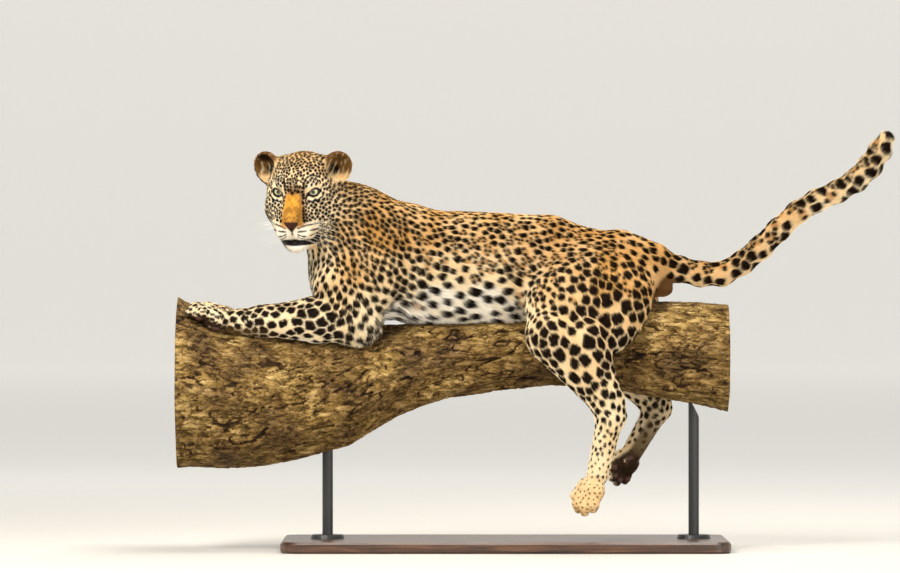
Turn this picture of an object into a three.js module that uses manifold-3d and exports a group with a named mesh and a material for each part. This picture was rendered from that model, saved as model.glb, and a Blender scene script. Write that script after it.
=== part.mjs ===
// A life-size leopard lying along a cut length of branch, as a museum shows it: forelegs along the top,
// hind legs hanging on both sides, tail raised behind, head turned to its left.
// Millimetres, +Z up. The head end is -X, the animal's left side is -Y, and the origin is the centre of the
// base's underside.
import * as THREE from "three";
import { mergeVertices } from "three/addons/utils/BufferGeometryUtils.js";
import Module from "manifold-3d";

const wasm = await Module();
wasm.setup();

// Fit and fineness
const GAP = 0.3; // between solids that touch
const FAR = 2000; // past everything, for cutting bodies
const SLAB_DEPTH = 500; // past the outside of either leg
const WELD = 0.02; // corners nearer than this count as one
const EYE_RADIUS = 17;
const LID_THICKNESS = 3;
const EAR = { width: 39, height: 43, depth: 26, wall: 5 };

// Stand
const BASE = { length: 1180, width: 460, thickness: 30, corner: 40, edge: 6 };
const ROD = { radius: 14, x: [-470, 500], bury: 60 };
const FLANGE = { radius: 45, height: 10 };

// Perch: X, height of its centre line, half its height and half its width, from its left cut end, where it
// swells towards the trunk that it grew from, to its right one
const PERCH = [
  [-866, 442, 226, 190], [-800, 425, 208, 188], [-740, 408, 190, 184], [-640, 408, 180, 178],
  [-543, 411, 167, 167], [-411, 430, 153, 150], [-345, 456, 138, 138], [-278, 476, 120, 122],
  [-146, 506, 100, 102], [-13, 520, 90, 94], [119, 530, 90, 94], [252, 538, 108, 108],
  [384, 532, 126, 126], [516, 522, 136, 136], [590, 511, 141, 141],
];
const PERCH_SIDES = 18;
const PERCH_RINGS = 15;

// Colours from the photograph
const COLOURS = {
  coat: 0xd9a866, ear: 0x8a5a34, eye: 0xb9b07a, bark: 0x8d7558, wood: 0x4a3324, steel: 0x3a3b3d,
};

// Small vector helpers
const add = (a, b, s = 1) => a.map((v, i) => v + s * b[i]);
const sub = (a, b) => add(a, b, -1);
const dot = (a, b) => a[0] * b[0] + a[1] * b[1] + a[2] * b[2];
const cross = (a, b) => [a[1] * b[2] - a[2] * b[1], a[2] * b[0] - a[0] * b[2], a[0] * b[1] - a[1] * b[0]];
const size = (a) => Math.hypot(...a);
const unit = (a) => a.map((v) => v / size(a));

// A local frame: f forward, l to the left, u up.
function axes(origin, forward, up) {
  const f = unit(forward);
  const l = unit(cross(up, f));
  const u = cross(f, l);
  const at = (x, y, z) => add(add(add(origin, f, x), l, y), u, z);
  return { origin, f, l, u, at };
}

// Muscles. A cone is round, with a radius at each end. A pod is an ellipsoid with its tips at a and b, half as
// wide as w along side and half as thick as t across it. k is how softly it melts into its neighbours.
function cone(a, b, ra, rb, k = 20) {
  const reach = size(sub(b, a)) / 2 + Math.max(ra, rb);
  const ab = sub(b, a);
  const length2 = Math.max(dot(ab, ab), 1e-9);
  const distance = (x, y, z) => {
    const px = x - a[0], py = y - a[1], pz = z - a[2];
    const t = Math.min(1, Math.max(0, (px * ab[0] + py * ab[1] + pz * ab[2]) / length2));
    return Math.hypot(px - t * ab[0], py - t * ab[1], pz - t * ab[2]) - (ra + (rb - ra) * t);
  };
  return { centre: add(a, ab, 0.5), reach, k, distance };
}
const ball = (a, r, k) => cone(a, a, r, r, k);
function pod(a, b, w, t, side = [0, 1, 0], k = 30) {
  const centre = add(a, sub(b, a), 0.5);
  const half = size(sub(b, a)) / 2;
  const e1 = unit(sub(b, a));
  const e2 = unit(add(side, e1, -dot(side, e1)));
  const e3 = cross(e1, e2);
  const least = Math.min(half, w, t);
  const distance = (x, y, z) => {
    const px = x - centre[0], py = y - centre[1], pz = z - centre[2];
    const u = (px * e1[0] + py * e1[1] + pz * e1[2]) / half;
    const v = (px * e2[0] + py * e2[1] + pz * e2[2]) / w;
    const q = (px * e3[0] + py * e3[1] + pz * e3[2]) / t;
    const k0 = Math.hypot(u, v, q);
    return k0 < 0.2 ? (k0 - 1) * least : (k0 * (k0 - 1)) / Math.hypot(u / half, v / w, q / t);
  };
  return { centre, reach: Math.max(half, w, t), k, distance };
}

// Where the head sits: its origin is between the eyes, 70 mm behind their surface.
const HEAD = axes([-537, -84, 969], [-0.175, -0.922, -0.345], [0, 0, 1]);
const EYE_AT = [58, 45, 0];
const EAR_AT = [-22, 94, 37];

function torso() {
  return [
    pod([-430, 0, 740], [60, 0, 750], 126, 146, [0, 1, 0], 60), // rib cage
    pod([-230, 0, 736], [270, 0, 736], 116, 146, [0, 1, 0], 60), // belly
    pod([90, 0, 728], [430, 0, 725], 108, 108, [0, 1, 0], 60), // pelvis
    cone([-230, 0, 842], [120, 0, 833], 40, 39, 60), // back
    cone([120, 0, 829], [395, 0, 772], 39, 34, 50), // croup
    pod([-515, -15, 712], [-280, 0, 735], 118, 118, [0, 1, 0], 50), // front of the chest
    pod([383, 0, 690], [447, 0, 690], 30, 25, [0, 1, 0], 14), // scrotum
  ];
}

function neck() {
  return [
    cone([-290, 0, 810], [-400, -5, 862], 116, 102, 50),
    cone([-400, -5, 862], [-478, -25, 905], 102, 88, 40),
    cone([-400, -30, 730], [-470, -66, 842], 104, 70, 40), // throat
  ];
}

function head(h = HEAD) {
  const parts = [
    pod(h.at(-122, 0, 10), h.at(74, 0, 14), 80, 64, h.l, 30), // brain case
    pod(h.at(-40, 0, 30), h.at(84, 0, 8), 58, 42, h.l, 30), // forehead
    cone(h.at(50, 0, 2), h.at(140, 0, -44), 36, 23, 26), // bridge of the nose
    cone(h.at(60, 0, -38), h.at(126, 0, -72), 44, 33, 26), // muzzle
    pod(h.at(98, 0, -130), h.at(142, 0, -128), 27, 22, h.l, 14), // chin
    pod(h.at(136, 0, -52), h.at(168, 0, -55), 21, 13, h.l, 6), // nose leather
  ];
  for (const s of [-1, 1]) {
    parts.push(
      pod(h.at(-70, s * 63, -34), h.at(72, s * 52, -50), 40, 60, h.l, 30), // cheek
      pod(h.at(52, s * 60, 20), h.at(80, s * 26, 22), 13, 12, h.u, 20), // brow
      cone(h.at(48, s * 52, -36), h.at(100, s * 32, -58), 30, 24, 24), // below the eye
      cone(h.at(34, s * 60, -64), h.at(104, s * 36, -84), 32, 24, 24), // behind the whisker pad
      pod(h.at(88, s * 28, -88), h.at(160, s * 22, -87), 27, 26, h.l, 12), // whisker pad
      cone(h.at(-10, s * 52, -94), h.at(92, s * 22, -120), 41, 26, 24), // jaw
      cone(h.at(-44, s * 62, 30), h.at(-42, s * 80, 38), 32, 24, 20), // root of the ear
    );
  }
  return parts;
}

// A paw: p.f runs to the toes and p.u out of its back.
function paw(p, w) {
  const parts = [pod(p.at(-34 * w, 0, 2 * w), p.at(36 * w, 0, -2 * w), 39 * w, 27 * w, p.l, 16)];
  for (const [y, x, r] of [[-30, 30, 15], [-10.5, 45, 17], [10.5, 45, 17], [30, 30, 15]]) {
    parts.push(
      cone(p.at((x - 34) * w, 0.8 * y * w, 8 * w), p.at(x * w, y * w, 3 * w), r * w, (r + 1) * w, 7),
      cone(p.at(x * w, y * w, 3 * w), p.at((x + 11) * w, y * w, -7 * w), (r + 1) * w, (r - 4) * w, 5),
    );
  }
  parts.push(pod(p.at(-20 * w, 0, -21 * w), p.at(16 * w, 0, -23 * w), 25 * w, 10 * w, p.l, 5)); // main pad
  return parts;
}

function foreleg(s) {
  const y = s * 94;
  const x = s < 0 ? -764 : -744; // the left paw reaches a little further
  return [
    pod([-275, s * 60, 902], [-440, s * 100, 660], 40, 80, [0, 1, 0], 40), // shoulder blade
    pod([-300, s * 95, 785], [-405, s * 118, 594], 44, 62, [0, 1, 0], 34), // triceps
    cone([-440, s * 98, 700], [-392, s * 108, 600], 62, 56, 30), // upper arm
    cone([-392, s * 104, 602], [-500, y, 611], 60, 60, 24), // forearm
    cone([-500, y, 611], [x + 124, y, 606], 60, 44, 20),
    cone([x + 132, y, 606], [x + 52, y, 604], 43, 37, 14), // wrist
    ...paw(axes([x, y, 614], [-0.92, 0, 0.36], [0.36, 0, 0.92]), 1.18),
  ];
}

function hindlegLeft() {
  return [
    pod([325, -42, 772], [66, -165, 590], 78, 116, [0, -1, 0.35], 50), // thigh
    pod([362, -70, 742], [230, -165, 520], 58, 78, [0, -1, 0.2], 40), // back of the thigh
    ball([112, -176, 575], 56, 30), // knee
    cone([128, -182, 560], [262, -185, 398], 70, 44, 30), // shin
    cone([205, -180, 560], [285, -186, 385], 62, 27, 26), // calf
    cone([262, -185, 398], [272, -187, 350], 43, 38, 20), // hock
    cone([276, -187, 372], [296, -187, 358], 30, 23, 14), // heel
    cone([272, -187, 350], [240, -190, 205], 37, 32, 16), // instep
    ...paw(axes([224, -194, 166], [-0.5, -0.1, -0.86], [-0.6, -0.76, 0.25]), 1.05),
  ];
}

function hindlegRight() {
  return [
    pod([325, 42, 772], [200, 170, 555], 78, 110, [0, 1, 0.35], 50),
    pod([362, 70, 742], [300, 165, 535], 58, 78, [0, 1, 0.2], 40),
    ball([235, 180, 545], 56, 30),
    cone([248, 182, 535], [398, 186, 395], 66, 42, 30),
    cone([300, 182, 540], [420, 188, 385], 58, 27, 26),
    cone([398, 186, 395], [408, 186, 365], 41, 37, 20),
    cone([412, 187, 380], [430, 187, 368], 28, 21, 14),
    cone([408, 186, 365], [346, 180, 258], 36, 31, 16),
    ...paw(axes([328, 176, 228], [-0.62, -0.1, -0.78], [-0.5, 0.78, 0.36]), 1.05),
  ];
}

// The tail's centre line and its radius at each bend, from root to tip.
const TAIL = [
  [305, 0, 794, 52], [398, 0, 762, 40], [458, 4, 744, 37], [517, 8, 731, 35], [575, 8, 731, 34],
  [628, 4, 760, 33], [676, -4, 800, 33], [723, -12, 847, 32], [771, -20, 892, 31], [822, -26, 924, 31],
  [877, -32, 948, 31], [925, -38, 977, 32], [962, -42, 1014, 33], [988, -44, 1054, 31], [1004, -44, 1083, 25],
];
function tail() {
  return TAIL.slice(1).map(([x, y, z, r], i) => {
    const [x0, y0, z0, r0] = TAIL[i];
    return cone([x0, y0, z0], [x, y, z], r0, r, 12);
  });
}

// The whole animal as one distance field: negative inside, in millimetres.
const FLESH = [
  { muscles: torso(), k: 0 },
  { muscles: neck(), k: 50 },
  { muscles: head(), k: 36 },
  { muscles: foreleg(-1), k: 34 },
  { muscles: foreleg(1), k: 34 },
  { muscles: hindlegLeft(), k: 36 },
  { muscles: hindlegRight(), k: 36 },
  { muscles: tail(), k: 30 },
];
function melt(a, b, k) {
  if (k === 0 || Math.abs(a - b) >= k) return Math.min(a, b);
  const h = (k - Math.abs(a - b)) / k;
  return Math.min(a, b) - (h * h * k) / 4;
}
function skin(x, y, z) {
  let all = Infinity;
  for (const { muscles, k } of FLESH) {
    let group = Infinity;
    for (const m of muscles) {
      const least = Math.hypot(x - m.centre[0], y - m.centre[1], z - m.centre[2]) - m.reach;
      if (least < group + m.k) group = melt(group, m.distance(x, y, z), m.k);
    }
    all = melt(all, group, k);
  }
  return all;
}

// Grid lines from lo to hi. steps holds [up to, spacing] pairs.
function ticks(lo, steps) {
  const lines = [lo];
  for (const [end, step] of steps) {
    const count = Math.max(1, Math.round((end - lines.at(-1)) / step));
    const start = lines.at(-1);
    for (let i = 1; i <= count; i++) lines.push(start + ((end - start) * i) / count);
  }
  return lines;
}

// The skin inside a box of grid lines, as a closed surface. Each cell that the skin crosses gets one vertex,
// and each grid edge that it crosses gets one four-sided face. Vertices are then drawn onto the skin.
function net([xs, ys, zs], place = (x, y, z) => [x, y, z]) {
  const [nx, ny, nz] = [xs.length, ys.length, zs.length];
  const index = (i, j, k) => (i * ny + j) * nz + k;
  const value = new Float64Array(nx * ny * nz);
  for (let i = 0; i < nx; i++)
    for (let j = 0; j < ny; j++)
      for (let k = 0; k < nz; k++) {
        const edge = i === 0 || j === 0 || k === 0 || i === nx - 1 || j === ny - 1 || k === nz - 1;
        value[index(i, j, k)] = edge ? 1e3 : skin(...place(xs[i], ys[j], zs[k]));
      }
  const cell = new Int32Array(nx * ny * nz).fill(-1);
  const points = [];
  const corners = [0, 1, 2, 3, 4, 5, 6, 7].map((c) => [c & 1, (c >> 1) & 1, (c >> 2) & 1]);
  const edges = [];
  corners.forEach((a, ia) => corners.forEach((b, ib) => {
    if (ia < ib && Math.abs(a[0] - b[0]) + Math.abs(a[1] - b[1]) + Math.abs(a[2] - b[2]) === 1) edges.push([a, b]);
  }));
  for (let i = 0; i < nx - 1; i++)
    for (let j = 0; j < ny - 1; j++)
      for (let k = 0; k < nz - 1; k++) {
        const sum = [0, 0, 0];
        let count = 0;
        for (const [a, b] of edges) {
          const va = value[index(i + a[0], j + a[1], k + a[2])];
          const vb = value[index(i + b[0], j + b[1], k + b[2])];
          if (va < 0 === vb < 0) continue;
          const t = Math.abs(va) > 900 || Math.abs(vb) > 900 ? 0.5 : va / (va - vb);
          const p = [[xs, i], [ys, j], [zs, k]].map(([g, n], d) => {
            const start = g[n + a[d]];
            return start + t * (g[n + b[d]] - start);
          });
          for (const d of [0, 1, 2]) sum[d] += p[d];
          count++;
        }
        if (!count) continue;
        cell[index(i, j, k)] = points.length;
        points.push(drawn(place(...sum.map((v) => v / count))));
      }
  const triangles = [];
  const at = (c) => cell[index(...c)];
  for (let i = 0; i < nx - 1; i++)
    for (let j = 0; j < ny - 1; j++)
      for (let k = 0; k < nz - 1; k++)
        for (const d of [0, 1, 2]) {
          const c = [i, j, k];
          const next = [...c];
          next[d]++;
          const inside = value[index(...c)] < 0;
          if (inside === value[index(...next)] < 0) continue;
          const [u, v] = [(d + 1) % 3, (d + 2) % 3];
          const around = [[-1, -1], [0, -1], [0, 0], [-1, 0]].map(([du, dv]) => {
            const q = [...c];
            q[u] += du;
            q[v] += dv;
            return at(q);
          });
          if (!inside) around.reverse();
          const [p, q, r, s] = around;
          const short = size(sub(points[p], points[r])) <= size(sub(points[q], points[s]));
          triangles.push(...(short ? [p, q, r, p, r, s] : [p, q, s, q, r, s]));
        }
  return solid(new THREE.BufferGeometry()
    .setAttribute("position", new THREE.Float32BufferAttribute(points.flat(), 3))
    .setIndex(triangles));
}

// The skin's slope at a point, and the point moved onto the skin along it.
function slope([x, y, z], e = 0.5) {
  return [
    (skin(x + e, y, z) - skin(x - e, y, z)) / (2 * e),
    (skin(x, y + e, z) - skin(x, y - e, z)) / (2 * e),
    (skin(x, y, z + e) - skin(x, y, z - e)) / (2 * e),
  ];
}
function drawn(point, tries = 2, most = 14) {
  let p = point;
  for (let i = 0; i < tries; i++) {
    const f = skin(...p);
    if (Math.abs(f) > most) return point;
    const g = slope(p);
    p = add(p, g, -f / Math.max(dot(g, g), 0.25));
  }
  return p;
}

// A closed geometry as a solid, and a solid as a geometry.
function solid(geometry) {
  const bare = geometry.clone();
  for (const name of Object.keys(bare.attributes)) if (name !== "position") bare.deleteAttribute(name);
  const merged = mergeVertices(bare, 1e-4);
  const made = new wasm.Manifold(new wasm.Mesh({
    numProp: 3,
    vertProperties: new Float32Array(merged.attributes.position.array),
    triVerts: new Uint32Array(merged.index.array),
    tolerance: WELD,
  }));
  return made;
}
function largest(made) {
  return made.decompose().sort((a, b) => b.volume() - a.volume())[0];
}
// Where two fans of faces only touch in one corner, each draws back from it a little towards its own faces.
function drawApart(position, triangles) {
  const corner = (i) => [position[3 * i], position[3 * i + 1], position[3 * i + 2]];
  const places = new Map();
  for (let i = 0; i < position.length / 3; i++) {
    const key = corner(i).map((v) => Math.round(v / WELD)).join();
    places.set(key, [...(places.get(key) ?? []), i]);
  }
  const shared = new Set([...places.values()].filter((list) => list.length > 1).flat());
  const moves = new Map();
  for (let i = 0; i < triangles.length; i++) {
    if (!shared.has(triangles[i])) continue;
    const first = 3 * Math.floor(i / 3);
    const middle = [0, 1, 2].reduce((sum, j) => add(sum, corner(triangles[first + j]), 1 / 3), [0, 0, 0]);
    const step = unit(sub(middle, corner(triangles[i])));
    moves.set(triangles[i], add(moves.get(triangles[i]) ?? [0, 0, 0], step));
  }
  for (const [i, step] of moves) position.set(add(corner(i), unit(step), 10 * WELD), 3 * i);
}
function geometryOf(made) {
  const mesh = largest(made).getMesh();
  const count = mesh.vertProperties.length / mesh.numProp;
  const position = new Float32Array(count * 3);
  for (let i = 0; i < count; i++)
    position.set(mesh.vertProperties.subarray(i * mesh.numProp, i * mesh.numProp + 3), i * 3);
  drawApart(position, mesh.triVerts);
  return new THREE.BufferGeometry()
    .setAttribute("position", new THREE.BufferAttribute(position, 3))
    .setIndex(new THREE.BufferAttribute(new Uint32Array(mesh.triVerts), 1));
}

// All that lies past a plane, on the side that its normal points to, moved back by shift.
function half(point, normal, shift = 0) {
  const box = new THREE.BoxGeometry(FAR, FAR, FAR).translate(0, 0, FAR / 2);
  const turn = new THREE.Quaternion().setFromUnitVectors(
    new THREE.Vector3(0, 0, 1), new THREE.Vector3(...unit(normal)));
  box.applyQuaternion(turn).translate(...add(point, unit(normal), shift));
  return solid(box);
}
// A smooth closed outline seen from the side, X and Z, as a body that runs outward from y = inner. The body
// grows by grow all round.
function slab(outline, side, inner, grow = 0) {
  const middle = outline.reduce((m, p) => [m[0] + p[0] / outline.length, m[1] + p[1] / outline.length], [0, 0]);
  const points = outline.map(([x, z]) => {
    const out = [x - middle[0], z - middle[1]];
    const length = Math.hypot(...out);
    return new THREE.Vector2(x + (grow * out[0]) / length, z + (grow * out[1]) / length);
  });
  const shape = new THREE.Shape([points[0]]).splineThru([...points.slice(1), points[0]]);
  const body = new THREE.ExtrudeGeometry(shape, { depth: SLAB_DEPTH, bevelEnabled: false, curveSegments: 3 });
  body.rotateX(Math.PI / 2); // its outline now lies in XZ and it runs to -Y
  body.translate(0, side < 0 ? grow - inner : inner - grow + SLAB_DEPTH, 0);
  return solid(body);
}

// Perch: a trunk whose section follows PERCH, with the bark's main ridges
function perchSection(x, angle) {
  const i = Math.max(1, PERCH.findIndex((p) => p[0] >= x));
  const [a, b] = [PERCH[i - 1], PERCH[i]];
  const t = Math.min(1, Math.max(0, (x - a[0]) / (b[0] - a[0])));
  const [, centre, high, wide] = a.map((v, j) => v + t * (b[j] - v));
  const low = 0.5 - 0.5 * Math.sin(angle); // bark stands out most on the underside
  const ridges = (2 + 4 * low) * Math.sin(7 * angle + x / 90) + 3 * low * Math.sin(3 * angle - x / 130);
  return { centre, high: high + ridges, wide: wide + ridges };
}
function perch(grow = 0) {
  const first = PERCH[0][0] - grow;
  const last = PERCH.at(-1)[0] + grow;
  const trunk = new THREE.CylinderGeometry(1, 1, last - first, PERCH_SIDES, PERCH_RINGS);
  const p = trunk.attributes.position;
  for (let i = 0; i < p.count; i++) {
    const [u, along, v] = [p.getX(i), p.getY(i), p.getZ(i)];
    const x = (first + last) / 2 + along;
    const { centre, high, wide } = perchSection(x, Math.atan2(v, u));
    p.setXYZ(i, x, (wide + grow) * u, centre + (high + grow) * v);
  }
  const made = solid(trunk);
  return made.volume() < 0 ? solid(flipped(trunk)) : made;
}
function flipped(geometry) {
  const index = Array.from(geometry.index.array);
  for (let i = 0; i < index.length; i += 3) [index[i + 1], index[i + 2]] = [index[i + 2], index[i + 1]];
  return geometry.clone().setIndex(index);
}

// Stand
function stand(log) {
  const { length, width, thickness, corner, edge } = BASE;
  const [a, b] = [length / 2 - edge, width / 2 - edge];
  const outline = new THREE.Shape().moveTo(-a + corner, -b).lineTo(a - corner, -b)
    .absarc(a - corner, -b + corner, corner, -Math.PI / 2, 0)
    .absarc(a - corner, b - corner, corner, 0, Math.PI / 2)
    .absarc(-a + corner, b - corner, corner, Math.PI / 2, Math.PI)
    .absarc(-a + corner, -b + corner, corner, Math.PI, 1.5 * Math.PI);
  const board = new THREE.ExtrudeGeometry(outline, {
    depth: thickness - 2 * edge, bevelThickness: edge, bevelSize: edge, bevelSegments: 1, curveSegments: 4,
  }).translate(0, 0, edge);
  const pieces = [["stand_base", solid(board), COLOURS.wood, 0]];
  ROD.x.forEach((x, i) => {
    const bottom = thickness + GAP;
    const { centre, high } = perchSection(x, -Math.PI / 2);
    const top = centre - high + ROD.bury;
    const rodFrom = bottom + FLANGE.height + GAP;
    const rod = new THREE.CylinderGeometry(ROD.radius, ROD.radius, top - rodFrom, 24)
      .rotateX(Math.PI / 2).translate(x, 0, (rodFrom + top) / 2);
    const flange = new THREE.CylinderGeometry(FLANGE.radius - 4, FLANGE.radius, FLANGE.height, 32)
      .rotateX(Math.PI / 2).translate(x, 0, bottom + FLANGE.height / 2);
    const name = i === 0 ? "front" : "rear";
    pieces.push([`stand_rod_${name}`, solid(rod).subtract(log), COLOURS.steel, 0.9]);
    pieces.push([`stand_flange_${name}`, solid(flange), COLOURS.steel, 0.9]);
  });
  return pieces;
}

// Head details
function eye(s, grow = 0) {
  const [x, y, z] = HEAD.at(EYE_AT[0], s * EYE_AT[1], EYE_AT[2]);
  return solid(new THREE.SphereGeometry(EYE_RADIUS + grow, 14, 8).translate(x, y, z));
}
// Turns and moves a geometry made along x forward, y left and z up into a frame.
function inFrame(geometry, frame, at) {
  const matrix = new THREE.Matrix4().makeBasis(
    new THREE.Vector3(...frame.f), new THREE.Vector3(...frame.l), new THREE.Vector3(...frame.u));
  return geometry.applyMatrix4(matrix).translate(...at);
}
// The almond opening between the lids, as a prism along the way the eye looks.
function lidOpening(s) {
  const [wide, high] = [14.5, 9];
  const almond = new THREE.Shape().moveTo(-wide, -2)
    .quadraticCurveTo(-2, high * 2 - 2, wide, 2).quadraticCurveTo(2, -high * 2, -wide, -2);
  const prism = new THREE.ExtrudeGeometry(almond, { depth: 30, bevelEnabled: false, curveSegments: 8 });
  // The shape's x runs from the inner corner out to the side and its y up.
  prism.applyMatrix4(new THREE.Matrix4().makeBasis(
    new THREE.Vector3(0, s, 0), new THREE.Vector3(0, 0, 1), new THREE.Vector3(s, 0, 0)));
  if (s < 0) prism.translate(30, 0, 0);
  const way = axes([0, 0, 0], add(add(HEAD.f, HEAD.l, s * 0.32), HEAD.u, 0.02), HEAD.u);
  return solid(inFrame(prism, way, HEAD.at(EYE_AT[0] + 4, s * EYE_AT[1], EYE_AT[2])));
}
// A thin round groove along points laid on the skin.
function groove(points, radius, sides = 6) {
  const path = new THREE.CatmullRomCurve3(points.map((p) => new THREE.Vector3(...drawn(p, 6, 60))));
  const ring = new THREE.Shape().absarc(0, 0, radius, 0, 2 * Math.PI);
  return solid(new THREE.ExtrudeGeometry(ring, {
    steps: 9, extrudePath: path, bevelEnabled: false, curveSegments: sides,
  }));
}
function headSolid(mesh) {
  let made = mesh;
  for (const s of [-1, 1]) {
    const lid = new THREE.SphereGeometry(EYE_RADIUS + LID_THICKNESS, 14, 10)
      .translate(...HEAD.at(EYE_AT[0], s * EYE_AT[1], EYE_AT[2]));
    made = made.add(solid(lid)).subtract(lidOpening(s)).subtract(eye(s, GAP));
    const nostril = new THREE.SphereGeometry(1, 10, 6).scale(9, 4.5, 4);
    made = made.subtract(solid(inFrame(nostril, HEAD, HEAD.at(162, s * 12, -61))));
    made = made.subtract(earCup(s));
    made = made.subtract(groove([
      HEAD.at(154, s * 1, -108), HEAD.at(146, s * 22, -114), HEAD.at(118, s * 42, -112), HEAD.at(84, s * 58, -100),
    ], 3.2));
  }
  return made.subtract(groove([HEAD.at(172, 0, -66), HEAD.at(168, 0, -84), HEAD.at(160, 0, -106)], 2.6));
}
// A rounded ear: a shell whose cup opens forward and out. Its cup also hollows the head at its foot.
function earFrame(s) {
  const way = axes([0, 0, 0], add(add(HEAD.f, HEAD.l, s * 0.5), HEAD.u, 0.1), add(HEAD.u, HEAD.l, s * 0.35));
  return { ...way, centre: HEAD.at(EAR_AT[0], s * EAR_AT[1], EAR_AT[2]) };
}
function earCup(s) {
  const way = earFrame(s);
  const { width, height, depth, wall } = EAR;
  const inner = new THREE.SphereGeometry(1, 12, 8).scale(depth - wall + 4, width - wall, height - wall);
  return solid(inFrame(inner, way, add(way.centre, way.f, 9)));
}
function ear(s, flesh) {
  const way = earFrame(s);
  const { width, height, depth } = EAR;
  const outer = new THREE.SphereGeometry(1, 12, 8).scale(depth, width, height);
  const shell = solid(inFrame(outer, way, way.centre))
    .subtract(earCup(s))
    .subtract(half(add(way.centre, way.f, 7), way.f))
    .subtract(flesh);
  const out = unit(sub(way.centre, HEAD.at(EAR_AT[0], 0, 0)));
  return solid(geometryOf(shell).translate(...out.map((v) => 1.5 * GAP * v)));
}

// Seams: where one part ends and the next begins. Each is a plane, or an outline seen from the side.
const SEAM = {
  head: { at: [-452, -20, 905], way: [-0.72, -0.33, 0.61] },
  neck: { at: [-300, 0, 925], way: [-0.66, 0, 0.75] },
  tail: { at: [450, 0, 750], way: [1, 0, 0] },
  tailMiddle: { at: [650, 0, 780], way: [0.77, 0, 0.64] },
  tailTip: { at: [850, -30, 936], way: [0.92, 0, 0.4] },
  wrist: { at: [-684, 0, 600], way: [-1, 0, 0.1] },
  kneeLeft: { at: [190, 0, 490], way: [0.5, 0, -0.87] },
  hockLeft: { at: [270, 0, 338], way: [-0.12, 0, -1] },
  kneeRight: { at: [310, 0, 475], way: [0.55, 0, -0.83] },
  hockRight: { at: [405, 0, 352], way: [-0.45, 0, -0.89] },
};
const past = ({ at, way }, shift = 0) => half(at, way, shift);
const SHOULDER = [
  [-290, 922], [-242, 860], [-262, 740], [-322, 640], [-345, 560], [-470, 540], [-520, 640], [-498, 760],
  [-420, 850],
];
const FOREARM = [[-402, 676], [-384, 570], [-430, 480], [-650, 470], [-900, 540], [-900, 700], [-650, 692]];
const HAUNCH = [[330, 800], [180, 806], [70, 730], [18, 620], [70, 520], [250, 480], [390, 560], [405, 700]];
const SHANK = [[0, 600], [-20, 300], [100, 40], [500, 20], [540, 300], [460, 600], [230, 610]];

function legRegion(s, which, grow = 0) {
  if (which === "fore") return slab(SHOULDER, s, 74, grow).add(slab(FOREARM, s, 36, grow));
  return slab(HAUNCH, s, 68, grow).add(slab(SHANK, s, 62, grow));
}

function animal(log) {
  const trunkGrid = [
    ticks(-600, [[-360, 31], [100, 46], [520, 36]]), ticks(-200, [[200, 32]]), ticks(560, [[1010, 32]])];
  const headGrid = [
    ticks(-240, [[24, 33], [190, 13.4]]), ticks(-154, [[154, 15]]), ticks(-190, [[24, 14], [120, 24]])];
  const foreGrid = (s) => [
    ticks(-880, [[-684, 14], [-200, 40]]),
    ticks(s < 0 ? -230 : 20, [[s < 0 ? -20 : 230, 16]]),
    ticks(480, [[670, 18], [950, 42]])];
  const hindGrid = (s) => [
    ticks(0, [[480, 26]]),
    ticks(s < 0 ? -300 : 30, [[s < 0 ? -30 : 300, 21]]),
    ticks(40, [[280, 14.5], [860, 44]])];
  const tailGrid = [ticks(400, [[1060, 25]]), ticks(-110, [[70, 18]]), ticks(660, [[1130, 25]])];

  const parts = [];
  const put = (name, made, colour = COLOURS.coat) => parts.push([name, made, colour, 0]);

  let trunk = net(trunkGrid).subtract(log);
  for (const s of [-1, 1])
    for (const which of ["fore", "hind"]) trunk = trunk.subtract(legRegion(s, which, GAP));
  put("torso", trunk.subtract(past(SEAM.neck, -GAP)).subtract(past(SEAM.tail, -GAP)));
  put("neck", trunk.intersect(past(SEAM.neck)).subtract(past(SEAM.head, -GAP)));
  const headFlesh = net(headGrid, HEAD.at);
  put("head", headSolid(headFlesh).intersect(past(SEAM.head)));
  for (const s of [-1, 1]) {
    const side = s < 0 ? "left" : "right";
    put(`eye_${side}`, eye(s), COLOURS.eye);
    put(`ear_${side}`, ear(s, headFlesh), COLOURS.ear);
  }
  for (const s of [-1, 1]) {
    const side = s < 0 ? "left" : "right";
    const arm = net(foreGrid(s)).subtract(log);
    const lower = arm.intersect(slab(FOREARM, s, 36));
    put(`shoulder_${side}`, arm.intersect(slab(SHOULDER, s, 74)).subtract(slab(FOREARM, s, 36, GAP)));
    put(`forearm_${side}`, lower.subtract(past(SEAM.wrist, -GAP)));
    put(`forepaw_${side}`, lower.intersect(past(SEAM.wrist)));
    const knee = s < 0 ? SEAM.kneeLeft : SEAM.kneeRight;
    const hock = s < 0 ? SEAM.hockLeft : SEAM.hockRight;
    const leg = net(hindGrid(s)).subtract(log).intersect(legRegion(s, "hind"));
    put(`thigh_${side}`, leg.subtract(past(knee, -GAP)));
    put(`shank_${side}`, leg.intersect(past(knee)).subtract(past(hock, -GAP)));
    put(`hind_foot_${side}`, leg.intersect(past(knee)).intersect(past(hock)));
  }
  const whip = net(tailGrid).intersect(past(SEAM.tail));
  put("tail_base", whip.subtract(past(SEAM.tailMiddle, -GAP)));
  put("tail_middle", whip.intersect(past(SEAM.tailMiddle)).subtract(past(SEAM.tailTip, -GAP)));
  put("tail_tip", whip.intersect(past(SEAM.tailTip)));
  return parts;
}

const leopard = new THREE.Group();
leopard.name = "leopard_on_perch";
const roundLog = perch(GAP);
const pieces = [...animal(roundLog), ["perch", perch(), COLOURS.bark, 0], ...stand(roundLog)];
for (const [name, made, colour, metalness] of pieces) {
  const material = new THREE.MeshStandardMaterial({ color: colour, roughness: metalness ? 0.4 : 0.85, metalness });
  const mesh = new THREE.Mesh(geometryOf(made), material);
  mesh.name = name;
  leopard.add(mesh);
}
export default leopard;
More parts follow.
